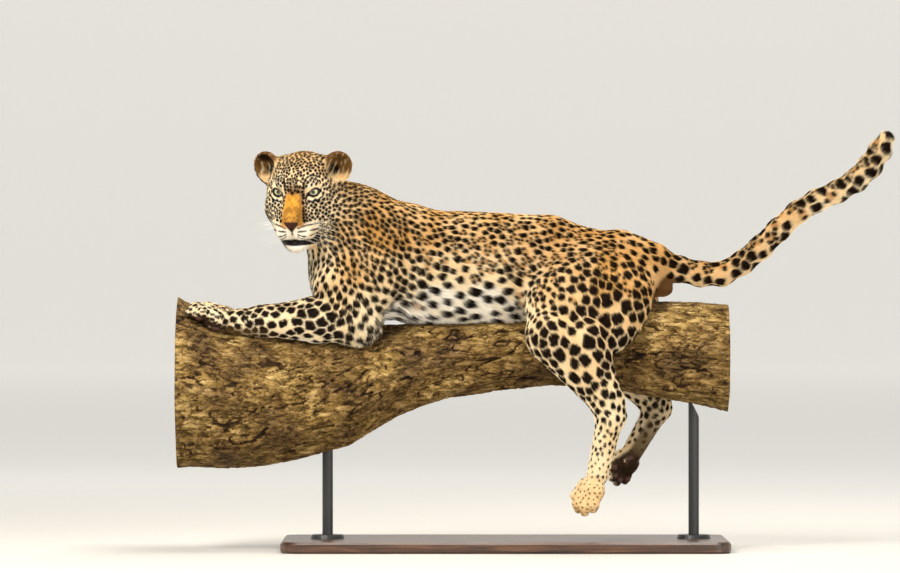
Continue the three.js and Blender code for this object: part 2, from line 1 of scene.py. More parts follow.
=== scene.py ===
"""A life-size leopard lying along a cut length of branch on a display stand.

The animal is one smooth skin with a coat of short mesh tufts over it. Both take their ground colour and their
spots from the same functions. Sizes are millimetres in the body's frame (+Z up, the head end is -X, the
animal's left side is -Y) and become metres when a mesh is made.
"""
import functools
import math

import bpy
import numpy as np
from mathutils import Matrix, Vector


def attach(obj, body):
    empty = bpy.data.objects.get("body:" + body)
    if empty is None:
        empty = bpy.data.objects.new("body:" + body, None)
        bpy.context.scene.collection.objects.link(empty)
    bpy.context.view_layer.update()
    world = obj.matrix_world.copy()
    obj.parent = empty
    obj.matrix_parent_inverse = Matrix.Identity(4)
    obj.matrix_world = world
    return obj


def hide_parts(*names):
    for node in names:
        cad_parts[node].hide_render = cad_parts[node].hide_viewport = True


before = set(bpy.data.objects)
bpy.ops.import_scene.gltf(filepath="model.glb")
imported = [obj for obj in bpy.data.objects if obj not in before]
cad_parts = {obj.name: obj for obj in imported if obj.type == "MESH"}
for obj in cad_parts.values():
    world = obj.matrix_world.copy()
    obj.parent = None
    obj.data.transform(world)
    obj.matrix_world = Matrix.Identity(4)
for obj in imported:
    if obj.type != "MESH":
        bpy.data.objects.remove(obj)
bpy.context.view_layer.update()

bl_info = {
    "name": "Leopard on a perch",
    "version": (1, 0, 0),
    "blender": (4, 5, 0),
    "location": "3D View > Sidebar > Leopard",
    "description": "Builds a still leopard with its skin, coat, eyes, whiskers, perch and stand",
    "category": "Add Mesh",
}

MM = 0.001
FLESH_NODES = [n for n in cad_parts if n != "perch" and not n.startswith(("stand_", "eye_"))]
F32 = np.float32


def linear(hex_colour):
    """An sRGB hex colour as a linear triple."""
    parts = [int(hex_colour[i:i + 2], 16) / 255 for i in (1, 3, 5)]
    return tuple(p / 12.92 if p <= 0.04045 else ((p + 0.055) / 1.055) ** 2.4 for p in parts)


def vec(*values):
    return np.array(values, float)


def unit(v):
    v = np.asarray(v, float)
    return v / np.linalg.norm(v)


def unit_rows(rows):
    return rows / np.maximum(np.linalg.norm(rows, axis=1, keepdims=True), 1e-6)


def ease(value, low, high):
    """0 below low, 1 above high and smooth between. low may be the greater one."""
    t = np.clip((value - low) / (high - low), 0, 1)
    return t * t * (3 - 2 * t)


def blended(a, b, share):
    """Rows of colours a turned into b by share."""
    share = np.asarray(share)[:, None]
    return a * (1 - share) + b * share


class Axes:
    """A local frame: f forward, l to the left, u up."""

    def __init__(self, origin, forward, up):
        self.origin = np.asarray(origin, float)
        self.f = unit(forward)
        self.l = unit(np.cross(up, self.f))
        self.u = np.cross(self.f, self.l)

    def at(self, x, y, z):
        return self.origin + x * self.f + y * self.l + z * self.u

    def seen(self, points):
        """Points in this frame: forward, left, up."""
        away = points - self.origin.astype(F32)
        return away @ np.stack([self.f, self.l, self.u], 1).astype(F32)


# Muscles. A cone is round, with a radius at each end. A pod is an ellipsoid with its tips at a and b, half as
# wide as w along side and half as thick as t across it. k is how softly it melts into its neighbours.
def cone(a, b, ra, rb, k=20.0):
    a = np.asarray(a, float)
    b = np.asarray(b, float)
    along = (b - a).astype(F32)
    length2 = F32(max(along @ along, 1e-6))

    def distance(points):
        away = points - a.astype(F32)
        t = np.clip(away @ along / length2, 0, 1)
        away -= t[:, None] * along
        return np.sqrt((away * away).sum(1)) - (F32(ra) + F32(rb - ra) * t)
    return (a + b) / 2, np.linalg.norm(b - a) / 2 + max(ra, rb), F32(k), distance


def ball(a, r, k):
    return cone(a, a, r, r, k)


def pod(a, b, w, t, side=(0, 1, 0), k=30.0):
    a = np.asarray(a, float)
    b = np.asarray(b, float)
    centre = (a + b) / 2
    half = np.linalg.norm(b - a) / 2
    e1 = unit(b - a)
    e2 = unit(np.asarray(side, float) - e1 * (np.asarray(side, float) @ e1))
    turn = np.stack([e1, e2, np.cross(e1, e2)], 1).astype(F32)
    radii = np.array([half, w, t], F32)

    def distance(points):
        local = (points - centre.astype(F32)) @ turn / radii
        k0 = np.sqrt((local * local).sum(1))
        k1 = np.sqrt(((local / radii) ** 2).sum(1))
        return np.where(k0 < 0.2, (k0 - 1) * radii.min(), k0 * (k0 - 1) / np.maximum(k1, 1e-6))
    return centre, max(half, w, t), F32(k), distance


# Where the head sits: its origin is between the eyes, 75 mm behind their surface.
HEAD = Axes([-537, -84, 969], [-0.175, -0.922, -0.345], [0, 0, 1])
EYE_AT = (58, 45, 0)
EYE_RADIUS = 17
EYE_BULGE = 1.3  # of the clear front
LID = 2.6
LID_WIDTH = 14.6  # half the opening between the lids
LID_RISE = 8.0  # of the upper lid over the line between the eye's corners
LID_DROP = 6.6  # of the lower lid under it
EAR_AT = (-22, 94, 37)
EAR = {"width": 39, "height": 43, "depth": 26, "wall": 5}
NOSE_TIP = (168, 0, -58)


def torso():
    return [
        pod([-430, 0, 740], [60, 0, 750], 126, 146, k=60),  # rib cage
        pod([-230, 0, 736], [270, 0, 736], 116, 146, k=60),  # belly
        pod([90, 0, 728], [430, 0, 725], 108, 108, k=60),  # pelvis
        cone([-230, 0, 842], [120, 0, 833], 40, 39, 60),  # back
        cone([120, 0, 829], [395, 0, 772], 39, 34, 50),  # croup
        pod([-515, -15, 712], [-280, 0, 735], 118, 118, k=50),  # front of the chest
        pod([383, 0, 690], [447, 0, 690], 30, 25, k=14),  # scrotum
    ]


def neck():
    return [
        cone([-290, 0, 810], [-400, -5, 862], 116, 102, 50),
        cone([-400, -5, 862], [-478, -25, 905], 102, 88, 40),
        cone([-400, -30, 730], [-470, -66, 842], 104, 70, 40),  # throat
    ]


def head():
    h = HEAD
    parts = [
        pod(h.at(-122, 0, 10), h.at(74, 0, 14), 80, 64, h.l, 30),  # brain case
        pod(h.at(-40, 0, 30), h.at(84, 0, 8), 58, 42, h.l, 30),  # forehead
        cone(h.at(50, 0, 2), h.at(140, 0, -44), 36, 23, 26),  # bridge of the nose
        cone(h.at(60, 0, -38), h.at(126, 0, -72), 44, 33, 26),  # muzzle
        pod(h.at(98, 0, -130), h.at(142, 0, -128), 27, 22, h.l, 14),  # chin
        pod(h.at(136, 0, -52), h.at(168, 0, -55), 21, 13, h.l, 6),  # nose leather
    ]
    for s in (-1, 1):
        parts += [
            pod(h.at(-70, s * 63, -34), h.at(72, s * 52, -50), 40, 60, h.l, 30),  # cheek
            pod(h.at(52, s * 60, 20), h.at(80, s * 26, 22), 13, 12, h.u, 20),  # brow
            cone(h.at(48, s * 52, -36), h.at(100, s * 32, -58), 30, 24, 24),  # below the eye
            cone(h.at(34, s * 60, -64), h.at(104, s * 36, -84), 32, 24, 24),  # behind the whisker pad
            pod(h.at(88, s * 28, -88), h.at(160, s * 22, -87), 27, 26, h.l, 12),  # whisker pad
            cone(h.at(-10, s * 52, -94), h.at(92, s * 22, -120), 41, 26, 24),  # jaw
            cone(h.at(-44, s * 62, 30), h.at(-42, s * 80, 38), 32, 24, 20),  # root of the ear
            cone(h.at(-16, s * 82, 0), h.at(-20, s * 100, 12), 18, 9, 12),  # hair before the ear
        ]
    return parts


# A paw: p.f runs to the toes and p.u out of its back. Each toe is its side offset, reach and radius.
TOES = ((-30, 30, 15), (-10.5, 45, 17), (10.5, 45, 17), (30, 30, 15))


def paw(p, w):
    parts = [pod(p.at(-34 * w, 0, 2 * w), p.at(36 * w, 0, -2 * w), 39 * w, 27 * w, p.l, 16)]
    for y, x, r in TOES:
        knuckle = p.at(x * w, y * w, 3 * w)
        parts += [
            cone(p.at((x - 34) * w, 0.8 * y * w, 8 * w), knuckle, r * w, (r + 1) * w, 7),
            cone(knuckle, p.at((x + 11) * w, y * w, -7 * w), (r + 1) * w, (r - 4) * w, 5),
        ]
    parts.append(pod(p.at(-20 * w, 0, -21 * w), p.at(16 * w, 0, -23 * w), 25 * w, 10 * w, p.l, 5))
    return parts


FOREPAW_SIZE = 1.18
HINDPAW_SIZE = 1.05
FOREPAW_X = {-1: -764, 1: -744}  # the left paw reaches a little further
PAWS = {
    "front_left": (Axes([-764, -94, 614], [-0.92, 0, 0.36], [0.36, 0, 0.92]), FOREPAW_SIZE),
    "front_right": (Axes([-744, 94, 614], [-0.92, 0, 0.36], [0.36, 0, 0.92]), FOREPAW_SIZE),
    "rear_left": (Axes([224, -194, 166], [-0.5, -0.1, -0.86], [-0.6, -0.76, 0.25]), HINDPAW_SIZE),
    "rear_right": (Axes([328, 176, 228], [-0.62, -0.1, -0.78], [-0.5, 0.78, 0.36]), HINDPAW_SIZE),
}


def foreleg(s):
    y = s * 94
    x = FOREPAW_X[s]
    return [
        pod([-275, s * 60, 902], [-440, s * 100, 660], 40, 80, k=40),  # shoulder blade
        pod([-300, s * 95, 785], [-405, s * 118, 594], 44, 62, k=34),  # triceps
        cone([-440, s * 98, 700], [-392, s * 108, 600], 62, 56, 30),  # upper arm
        cone([-392, s * 104, 602], [-500, y, 611], 60, 60, 24),  # forearm
        cone([-500, y, 611], [x + 124, y, 606], 60, 44, 20),
        cone([x + 132, y, 606], [x + 52, y, 604], 43, 37, 14),  # wrist
    ]


def hindleg_left():
    return [
        pod([325, -42, 772], [66, -165, 590], 78, 116, [0, -1, 0.35], 50),  # thigh
        pod([362, -70, 742], [230, -165, 520], 58, 78, [0, -1, 0.2], 40),  # back of the thigh
        ball([112, -176, 575], 56, 30),  # knee
        cone([128, -182, 560], [262, -185, 398], 70, 44, 30),  # shin
        cone([205, -180, 560], [285, -186, 385], 62, 27, 26),  # calf
        cone([262, -185, 398], [272, -187, 350], 43, 38, 20),  # hock
        cone([276, -187, 372], [296, -187, 358], 30, 23, 14),  # heel
        cone([272, -187, 350], [240, -190, 205], 37, 32, 16),  # instep
    ]


def hindleg_right():
    return [
        pod([325, 42, 772], [200, 170, 555], 78, 110, [0, 1, 0.35], 50),
        pod([362, 70, 742], [300, 165, 535], 58, 78, [0, 1, 0.2], 40),
        ball([235, 180, 545], 56, 30),
        cone([248, 182, 535], [398, 186, 395], 66, 42, 30),
        cone([300, 182, 540], [420, 188, 385], 58, 27, 26),
        cone([398, 186, 395], [408, 186, 365], 41, 37, 20),
        cone([412, 187, 380], [430, 187, 368], 28, 21, 14),
        cone([408, 186, 365], [346, 180, 258], 36, 31, 16),
    ]


# The tail's centre line and its radius at each bend, from root to tip.
TAIL = [
    [305, 0, 794, 52], [398, 0, 762, 40], [458, 4, 744, 37], [517, 8, 731, 35], [575, 8, 731, 34],
    [628, 4, 760, 33], [676, -4, 800, 33], [723, -12, 847, 32], [771, -20, 892, 31], [822, -26, 924, 31],
    [877, -32, 948, 31], [925, -38, 977, 32], [962, -42, 1014, 33], [988, -44, 1054, 31],
    [1004, -44, 1083, 25],
]


def tail():
    return [cone(a[:3], b[:3], a[3], b[3], 12) for a, b in zip(TAIL, TAIL[1:])]


# The whole animal: a name, its muscles, how softly it melts into the rest, and how far the skin lies inside
# the outline of the coat.
def flesh():
    paws = {name: paw(*place) for name, place in PAWS.items()}
    return [
        ("torso", torso(), 0, 6.5),
        ("neck", neck(), 50, 6.0),
        ("head", head(), 36, 3.2),
        ("foreleg_left", foreleg(-1), 34, 4.5),
        ("forepaw_left", paws["front_left"], 10, 2.6),
        ("foreleg_right", foreleg(1), 34, 4.5),
        ("forepaw_right", paws["front_right"], 10, 2.6),
        ("hindleg_left", hindleg_left(), 36, 4.5),
        ("hindpaw_left", paws["rear_left"], 10, 2.4),
        ("hindleg_right", hindleg_right(), 36, 4.5),
        ("hindpaw_right", paws["rear_right"], 10, 2.4),
        ("tail", tail(), 30, 5.5),
    ]


def melt(a, b, k):
    """The lower of two distances, rounded where they meet."""
    if k == 0:
        return np.minimum(a, b)
    h = np.maximum(k - np.abs(a - b), 0) / F32(k)
    return np.minimum(a, b) - h * h * F32(k) / 4


def carve(a, b, k):
    """Distance a with all that distance b holds cut away, rounded at the edge."""
    return -melt(-a, b, k)


GROUPS = flesh()
HEAD_CENTRE = HEAD.at(20, 0, -20)
HEAD_REACH = 210
FAR = F32(1e3)
MELT_REACH = 110  # farther from a muscle than this, it no longer shapes the skin


def ear_axes(s):
    out = HEAD.f + HEAD.l * s * 0.5 + HEAD.u * 0.1
    return Axes(HEAD.at(EAR_AT[0], s * EAR_AT[1], EAR_AT[2]), out, HEAD.u + HEAD.l * s * 0.35)


def ear_distance(points, s):
    """Distances that shape one ear: its outside, the hollow of its cup and the plane of its rim."""
    fur = 1.4
    local = ear_axes(s).seen(points)

    def egg(p, radii):
        k0 = np.sqrt(((p / radii) ** 2).sum(1))
        k1 = np.sqrt(((p / radii ** 2) ** 2).sum(1))
        return np.where(k0 < 0.2, (k0 - 1) * radii.min(), k0 * (k0 - 1) / np.maximum(k1, 1e-6))
    outer = egg(local, np.array([EAR["depth"] - fur, EAR["width"] - fur, EAR["height"] - fur], F32))
    wall = EAR["wall"] + fur
    hollow = np.array([EAR["depth"] - wall + 4, EAR["width"] - wall, EAR["height"] - wall], F32)
    inner = egg(local - np.array([9, 0, 0], F32), hollow)
    return outer, inner, local[:, 0] - F32(6)


def eye_centre(s):
    return HEAD.at(EYE_AT[0], s * EYE_AT[1], EYE_AT[2])


def gaze(s, aside, up):
    """The frame of one eye that looks so far aside and up."""
    return Axes(eye_centre(s), HEAD.f + HEAD.l * s * aside + HEAD.u * up, HEAD.u)


def almond(points, s):
    """How far outside the opening between the lids a point lies, negative inside, and how far ahead."""
    local = gaze(s, 0.32, 0.02).seen(points)
    x = local[:, 1] * s / LID_WIDTH
    arch = np.maximum(1 - x * x, 0)
    middle = 1.8 * x
    upper = middle + LID_RISE * arch ** 0.75
    lower = middle - LID_DROP * arch ** 0.8
    z = local[:, 2]
    opening = np.maximum(np.maximum(z - upper, lower - z), (np.abs(x) - 1) * 14)
    return opening.astype(F32), local[:, 0]


def chain_distance(points, path, radius):
    """Distance to a thin round cord along a path."""
    best = np.full(len(points), FAR)
    for a, b in zip(path, path[1:]):
        best = np.minimum(best, cone(a, b, 0, 0)[3](points))
    return best - F32(radius)


def with_face(points, value):
    """Adds ears and lids to the head's distance and cuts eye openings, nostrils and the line of the mouth."""
    near = np.linalg.norm(points - HEAD_CENTRE.astype(F32), axis=1) < HEAD_REACH
    if not near.any():
        return value
    p = points[near]
    f = value[near]
    for s in (-1, 1):
        outer, inner, rim = ear_distance(p, s)
        shell = carve(np.maximum(outer, rim), inner, 1.5)
        f = carve(melt(f, np.maximum(outer, rim), 14), inner, 3)
        f = np.minimum(f, shell)
        from_eye = np.linalg.norm(p - eye_centre(s).astype(F32), axis=1)
        f = melt(f, from_eye - F32(EYE_RADIUS + LID), 9)
        opening, ahead = almond(p, s)
        recess = np.maximum(np.maximum(opening, F32(EYE_RADIUS - 2.5) - from_eye), -ahead)
        f = carve(f, recess, 1.2)
        nostril = HEAD.seen(p) - np.array([163, s * 11.5, -61], F32)
        nostril = np.sqrt((nostril[:, 0] / 8) ** 2 + (nostril[:, 1] / 4.6) ** 2 + (nostril[:, 2] / 3.8) ** 2)
        f = carve(f, (nostril - 1) * F32(4), 1.5)
    for path, radius in mouth_lines():
        f = carve(f, chain_distance(p, path, radius), 2.5)
    value = value.copy()
    value[near] = f
    return value


def skin_distance(points, face=True):
    """Signed distance to the skin, negative inside, with the face's details or without them."""
    total = np.full(len(points), FAR)
    low = points.min(0)
    high = points.max(0)
    for _, muscles, k, depth in GROUPS:
        group = None
        for centre, reach, soft, distance in muscles:
            gap = np.maximum(np.maximum(low - centre, centre - high), 0)
            if np.linalg.norm(gap) > reach + MELT_REACH:
                continue
            d = distance(points)
            group = d if group is None else melt(group, d, soft)
        if group is not None:
            total = melt(total, group + F32(depth), k)
    return with_face(points, total) if face else total


def by_place(points, fn, size=90, most=6000):
    """fn of the points, worked out for one small part of space at a time, which is quicker."""
    if len(points) < most:
        return fn(points)
    cell = np.floor(points / size).astype(np.int64)
    key = (cell[:, 0] * 1000 + cell[:, 1]) * 1000 + cell[:, 2]
    order = np.argsort(key, kind="stable")
    cuts = np.flatnonzero(np.diff(key[order])) + 1
    out = np.empty(len(points), F32)
    for index in np.split(order, cuts):
        out[index] = fn(points[index])
    return out


def slope(points, fn, e=0.6):
    """The direction in which a distance grows, at each point."""
    out = np.empty_like(points)
    for axis in range(3):
        step = np.zeros(3, F32)
        step[axis] = e
        out[:, axis] = (by_place(points + step, fn) - by_place(points - step, fn)) / (2 * e)
    return out


def bare_skin(points):
    return skin_distance(points, face=False)


def drawn(points, fn, tries=2, most=9.0):
    """Points moved onto a surface along its slope, by no more than most each time."""
    p = np.atleast_2d(np.asarray(points, F32)).copy()
    for _ in range(tries):
        f = by_place(p, fn)
        g = slope(p, fn)
        step = -f / np.maximum((g * g).sum(1), 0.25)
        p += g * np.clip(step, -most, most)[:, None]
    return p


@functools.lru_cache(None)
def mouth_lines():
    """The two halves of the mouth and the cleft under the nose, as paths on the skin with their radius."""
    lines = []
    for s in (-1, 1):
        lips = [HEAD.at(156, 0, -107), HEAD.at(152, s * 12, -110), HEAD.at(142, s * 25, -113),
                HEAD.at(118, s * 42, -112), HEAD.at(84, s * 58, -101)]
        lines.append((drawn(lips, bare_skin, 6, 30), 2.6))
    cleft = [HEAD.at(172, 0, -66), HEAD.at(168, 0, -84), HEAD.at(160, 0, -106)]
    lines.append((drawn(cleft, bare_skin, 6, 30), 1.7))
    return lines


def ticks(start, steps):
    """Grid lines from start. steps holds [up to, spacing] pairs."""
    lines = [start]
    for end, step in steps:
        count = max(1, round((end - lines[-1]) / step))
        lines += list(np.linspace(lines[-1], end, count + 1)[1:])
    return np.array(lines)


BLOCK = 8
NEAR_BLOCK = 1.5  # a block this many half diagonals from the surface is far from it
BLOCKS_AT_ONCE = 90


def padded(lines):
    """Grid lines made up to a whole number of blocks."""
    step = lines[-1] - lines[-2]
    missing = -(len(lines) - 1) % BLOCK
    return np.concatenate([lines, lines[-1] + step * np.arange(1, missing + 1)])


def field_on_grid(grid, fn):
    """Distances at all grid points near the surface. Far blocks only get their sign."""
    grid = [padded(lines) for lines in grid]
    counts = [(len(lines) - 1) // BLOCK for lines in grid]
    middles = [(lines[0:-1:BLOCK] + lines[BLOCK::BLOCK]) / 2 for lines in grid]
    halves = [(lines[BLOCK::BLOCK] - lines[0:-1:BLOCK]) / 2 for lines in grid]
    centre = np.stack(np.meshgrid(*middles, indexing="ij"), -1).reshape(-1, 3).astype(F32)
    half = np.stack(np.meshgrid(*halves, indexing="ij"), -1).reshape(-1, 3)
    at_centre = np.concatenate([fn(part) for part in np.array_split(centre, 24)])
    near = np.abs(at_centre) < np.linalg.norm(half, axis=1) * NEAR_BLOCK
    value = np.where(at_centre < 0, -FAR, FAR).reshape(counts)
    for axis in range(3):
        value = value.repeat(BLOCK, axis)
    value = np.pad(value, ((0, 1), (0, 1), (0, 1)), constant_values=FAR)
    value = np.ascontiguousarray(value)
    blocks = np.argwhere(near.reshape(counts))
    corner = np.stack(np.meshgrid(*[np.arange(BLOCK + 1)] * 3, indexing="ij"), -1).reshape(-1, 3)
    for start in range(0, len(blocks), BLOCKS_AT_ONCE):
        part = blocks[start:start + BLOCKS_AT_ONCE, None, :]
        index = (part * BLOCK + corner[None]).reshape(-1, 3)
        points = np.stack([grid[a][index[:, a]] for a in range(3)], 1).astype(F32)
        value[index[:, 0], index[:, 1], index[:, 2]] = fn(points)
    return grid, value


CUBE_EDGES = [
    (a, b) for a in np.ndindex(2, 2, 2) for b in np.ndindex(2, 2, 2)
    if sum(abs(i - j) for i, j in zip(a, b)) == 1 and a < b
]


def net(grid, value):
    """The surface where value passes zero: a vertex in each crossed cell, a face on each crossed edge."""
    inside = value < 0
    nx, ny, nz = value.shape
    count = np.zeros((nx - 1, ny - 1, nz - 1), np.int8)
    for i, j, k in np.ndindex(2, 2, 2):
        count += inside[i:nx - 1 + i, j:ny - 1 + j, k:nz - 1 + k]
    cells = np.argwhere((count > 0) & (count < 8))
    number = np.full(count.shape, -1, np.int32)
    number[tuple(cells.T)] = np.arange(len(cells))
    total = np.zeros((len(cells), 3))
    found = np.zeros(len(cells))
    for a, b in CUBE_EDGES:
        ia = cells + a
        ib = cells + b
        va = value[tuple(ia.T)]
        vb = value[tuple(ib.T)]
        crossed = (va < 0) != (vb < 0)
        t = np.where(crossed, va / np.where(crossed, va - vb, 1), 0)[:, None]
        pa = np.stack([grid[d][ia[:, d]] for d in range(3)], 1)
        pb = np.stack([grid[d][ib[:, d]] for d in range(3)], 1)
        total[crossed] += (pa + (pb - pa) * t)[crossed]
        found[crossed] += 1
    points = (total / found[:, None]).astype(F32)
    faces = []
    for axis in range(3):
        u, v = (axis + 1) % 3, (axis + 2) % 3
        here = [slice(None)] * 3
        there = [slice(None)] * 3
        here[axis] = slice(0, -1)
        there[axis] = slice(1, None)
        edge = np.argwhere(inside[tuple(here)] != inside[tuple(there)])
        fits = (edge[:, u] > 0) & (edge[:, v] > 0)
        fits &= (edge[:, u] < value.shape[u] - 1) & (edge[:, v] < value.shape[v] - 1)
        edge = edge[fits]
        around = []
        for du, dv in ((-1, -1), (0, -1), (0, 0), (-1, 0)):
            cell = edge.copy()
            cell[:, u] += du
            cell[:, v] += dv
            around.append(number[tuple(cell.T)])
        quads = np.stack(around, 1)
        outside = ~inside[tuple(edge.T)]
        quads[outside] = quads[outside][:, ::-1]
        faces.append(quads)
    return points, np.concatenate(faces)


def largest_piece(points, quads):
    """Only the largest connected surface."""
    mark = np.arange(len(points))
    while True:
        low = mark[quads].min(1)
        new = mark.copy()
        for corner in range(4):
            np.minimum.at(new, quads[:, corner], low)
        new = new[new]
        if (new == mark).all():
            break
        mark = new
    names, sizes = np.unique(mark, return_counts=True)
    kept = mark == names[sizes.argmax()]
    number = np.cumsum(kept) - 1
    return points[kept], number[quads[kept[quads[:, 0]]]]


def folds():
    """Folds in the skin where the body bends: a path, its width and its depth."""
    lines = []
    for s in (-1, 1):
        lines += [
            ([[-318, 150 * s, 700], [-350, 168 * s, 640], [-372, 170 * s, 590]], 16, 5),  # behind the elbow
            ([[-448, 150 * s, 690], [-432, 158 * s, 650], [-404, 160 * s, 628]], 12, 4),  # inside the elbow
            ([[-500, 100 * s, 830], [-455, 112 * s, 800], [-420, 118 * s, 760]], 18, 4),  # neck to shoulder
            ([[60, 150 * s, 740], [44, 150 * s, 680], [50, 140 * s, 620]], 20, 6),  # flank to thigh
            ([[96, 140 * s, 700], [120, 190 * s, 640], [170, 215 * s, 590]], 26, 3),  # along the thigh
        ]
    for shift in (0, 34, 66):
        lines.append(([[-452 + shift, -120, 880 - shift / 3], [-470 + shift, -118, 830 - shift / 3],
                       [-470 + shift, -110, 780 - shift / 3]], 13, 3.2))  # neck, where the head turns
    return lines


def folded(points, normals):
    """Presses the folds into the skin."""
    depth = np.zeros(len(points), F32)
    for path, width, deep in folds():
        d = chain_distance(points, np.array(path, float), 0)
        depth += F32(deep) * np.exp(-(d / F32(width)) ** 2)
    return points - normals * depth[:, None]


# The coat from place to place. Each row is a point on the body and what the coat is there: the way the hair
# lies, its length, how pale the ground is (0 golden, 1 white), the space from spot to spot, half a spot's
# length, how long a spot is for its width, and the share of spots that are rosettes.
@functools.lru_cache(None)
def comb():
    rows = []

    def put(at, lie, length, pale, space, spot, stretch=1.2, rosettes=0.0, both=False):
        rows.append([*at, *unit(lie), length, pale, space, spot, stretch, rosettes])
        if both:
            rows.append([at[0], -at[1], at[2], *unit(vec(lie[0], -lie[1], lie[2])),
                         length, pale, space, spot, stretch, rosettes])

    # Back, from the withers to the tail
    put([-420, -10, 958], [0.9, 0, -0.35], 12, 0.02, 17, 6.3, 1.5)
    put([-300, 0, 915], [1, 0, -0.1], 13, 0.05, 18, 6.6, 1.5)
    put([-180, 0, 885], [1, 0, -0.05], 13, 0.10, 19, 6.8, 1.6)
    put([-30, 0, 880], [1, 0, 0], 12, 0.12, 20, 7, 1.6, 0.1)
    put([130, 0, 868], [1, 0, -0.1], 12, 0.10, 21, 7.5, 1.5, 0.1)
    put([270, 0, 835], [1, 0, -0.2], 12, 0.08, 23, 8.5, 1.5, 0.1)
    put([390, 0, 795], [1, 0, -0.3], 13, 0.10, 26, 10, 1.5, 0.1)
    # Upper side
    put([-300, -118, 830], [0.55, 0, -0.85], 12, 0.05, 17, 6.4, 1.4, 0.05, True)
    put([-200, -95, 835], [1, 0, -0.3], 12, 0.16, 20, 7.2, 1.4, 0.2, True)
    put([-60, -105, 820], [1, 0, -0.25], 12, 0.22, 23, 7.8, 1.3, 0.55, True)
    put([100, -105, 805], [1, 0, -0.25], 12, 0.14, 23, 7.8, 1.3, 0.5, True)
    put([250, -100, 785], [0.9, 0, -0.4], 12, 0.10, 24, 8.8, 1.3, 0.3, True)
    # Flank and belly
    put([-290, -140, 700], [0.5, 0, -0.85], 13, 0.32, 22, 8, 1.4, 0.15, True)
    put([-190, -128, 750], [0.95, 0, -0.35], 14, 0.5, 25, 8.5, 1.3, 0.35, True)
    put([-60, -128, 750], [0.95, 0, -0.3], 14, 0.52, 26, 8.8, 1.3, 0.7, True)
    put([60, -126, 740], [0.9, 0, -0.4], 14, 0.42, 24, 8.5, 1.4, 0.55, True)
    put([-200, -116, 672], [0.95, 0, -0.35], 22, 0.88, 44, 12.5, 1.5, 0.05, True)
    put([-70, -112, 665], [0.95, 0, -0.3], 22, 0.92, 46, 13, 1.5, 0.05, True)
    put([40, -114, 680], [0.9, 0, -0.3], 18, 0.5, 30, 11, 1.4, 0.2, True)
    put([20, -110, 640], [0.9, 0, -0.3], 24, 0.92, 40, 13, 1.5, 0, True)
    put([-335, -160, 612], [0.9, 0, -0.4], 34, 0.9, 30, 9, 1.4, 0, True)  # shaggy hair behind the elbow
    put([-310, -128, 665], [0.9, 0, -0.4], 18, 0.5, 26, 10, 1.4, 0, True)
    put([-270, -122, 635], [0.9, 0, -0.4], 24, 0.85, 36, 12, 1.4, 0, True)
    put([-290, -70, 615], [0.5, -0.4, -0.8], 46, 0.95, 40, 12, 1.4, 0, True)
    put([-300, 0, 604], [1, 0, 0], 50, 0.95, 40, 12, 1.4)
    put([-200, 0, 590], [1, 0, 0], 34, 1.0, 50, 14, 1.4)
    put([0, 0, 590], [1, 0, 0], 34, 1.0, 50, 14, 1.4)
    put([190, 0, 600], [0.9, 0, -0.3], 34, 1.0, 50, 12, 1.4)
    put([410, 0, 690], [0.6, 0, -0.7], 7, 0.2, 60, 1)
    # Neck, shoulder and chest
    put([-360, -105, 860], [0.7, 0, -0.7], 13, 0.05, 16.5, 6.3, 1.5, 0, True)
    put([-440, -112, 850], [0.6, 0, -0.75], 14, 0.10, 17.5, 6.6, 1.6, 0, True)
    put([-400, -140, 740], [0.3, 0, -0.95], 13, 0.10, 17, 6.6, 1.6, 0, True)
    put([-520, -130, 800], [0.35, 0.2, -0.9], 16, 0.35, 17.5, 7.2, 2.0)
    put([-545, -85, 760], [0.1, 0.2, -1], 18, 0.6, 19, 8.5, 2.4)
    put([-530, -60, 700], [0.1, 0.2, -1], 19, 0.75, 21, 9.5, 2.4)
    put([-500, 60, 800], [0.4, -0.1, -0.9], 16, 0.4, 18, 7, 2.0)
    put([-520, -10, 660], [0.2, 0, -1], 20, 0.85, 30, 10, 1.8)
    put([-470, -10, 610], [0.3, 0, -1], 20, 1.0, 42, 10, 1.6)
    # Forelegs
    put([-450, -155, 670], [-0.1, 0, -1], 12, 0.35, 24, 8.8, 1.5, 0, True)
    put([-350, -165, 620], [-0.2, 0, -1], 12, 0.5, 30, 11, 1.3, 0, True)
    put([-500, -94, 668], [-1, 0, -0.1], 9, 0.42, 24, 9, 1.3, 0, True)
    put([-480, -152, 610], [-1, 0, -0.2], 10, 0.6, 33, 13, 1.25, 0, True)
    put([-600, -94, 655], [-1, 0, -0.05], 8, 0.4, 24, 9.2, 1.3, 0, True)
    put([-600, -145, 605], [-1, 0, -0.2], 8, 0.62, 30, 12, 1.2, 0, True)
    put([-520, -40, 600], [-1, 0, -0.2], 12, 0.95, 46, 12, 1.4, 0, True)
    put([-690, -94, 645], [-1, 0, 0], 7, 0.4, 20, 8, 1.3, 0, True)
    put([-700, -135, 605], [-1, 0, -0.1], 7, 0.6, 24, 9.5, 1.2, 0, True)
    put([-790, -94, 650], [-1, 0, 0.1], 5, 0.5, 15, 5.4, 1.8, 0, True)
    put([-780, -140, 625], [-1, 0, 0], 5, 0.55, 15, 5.4, 1.6, 0, True)
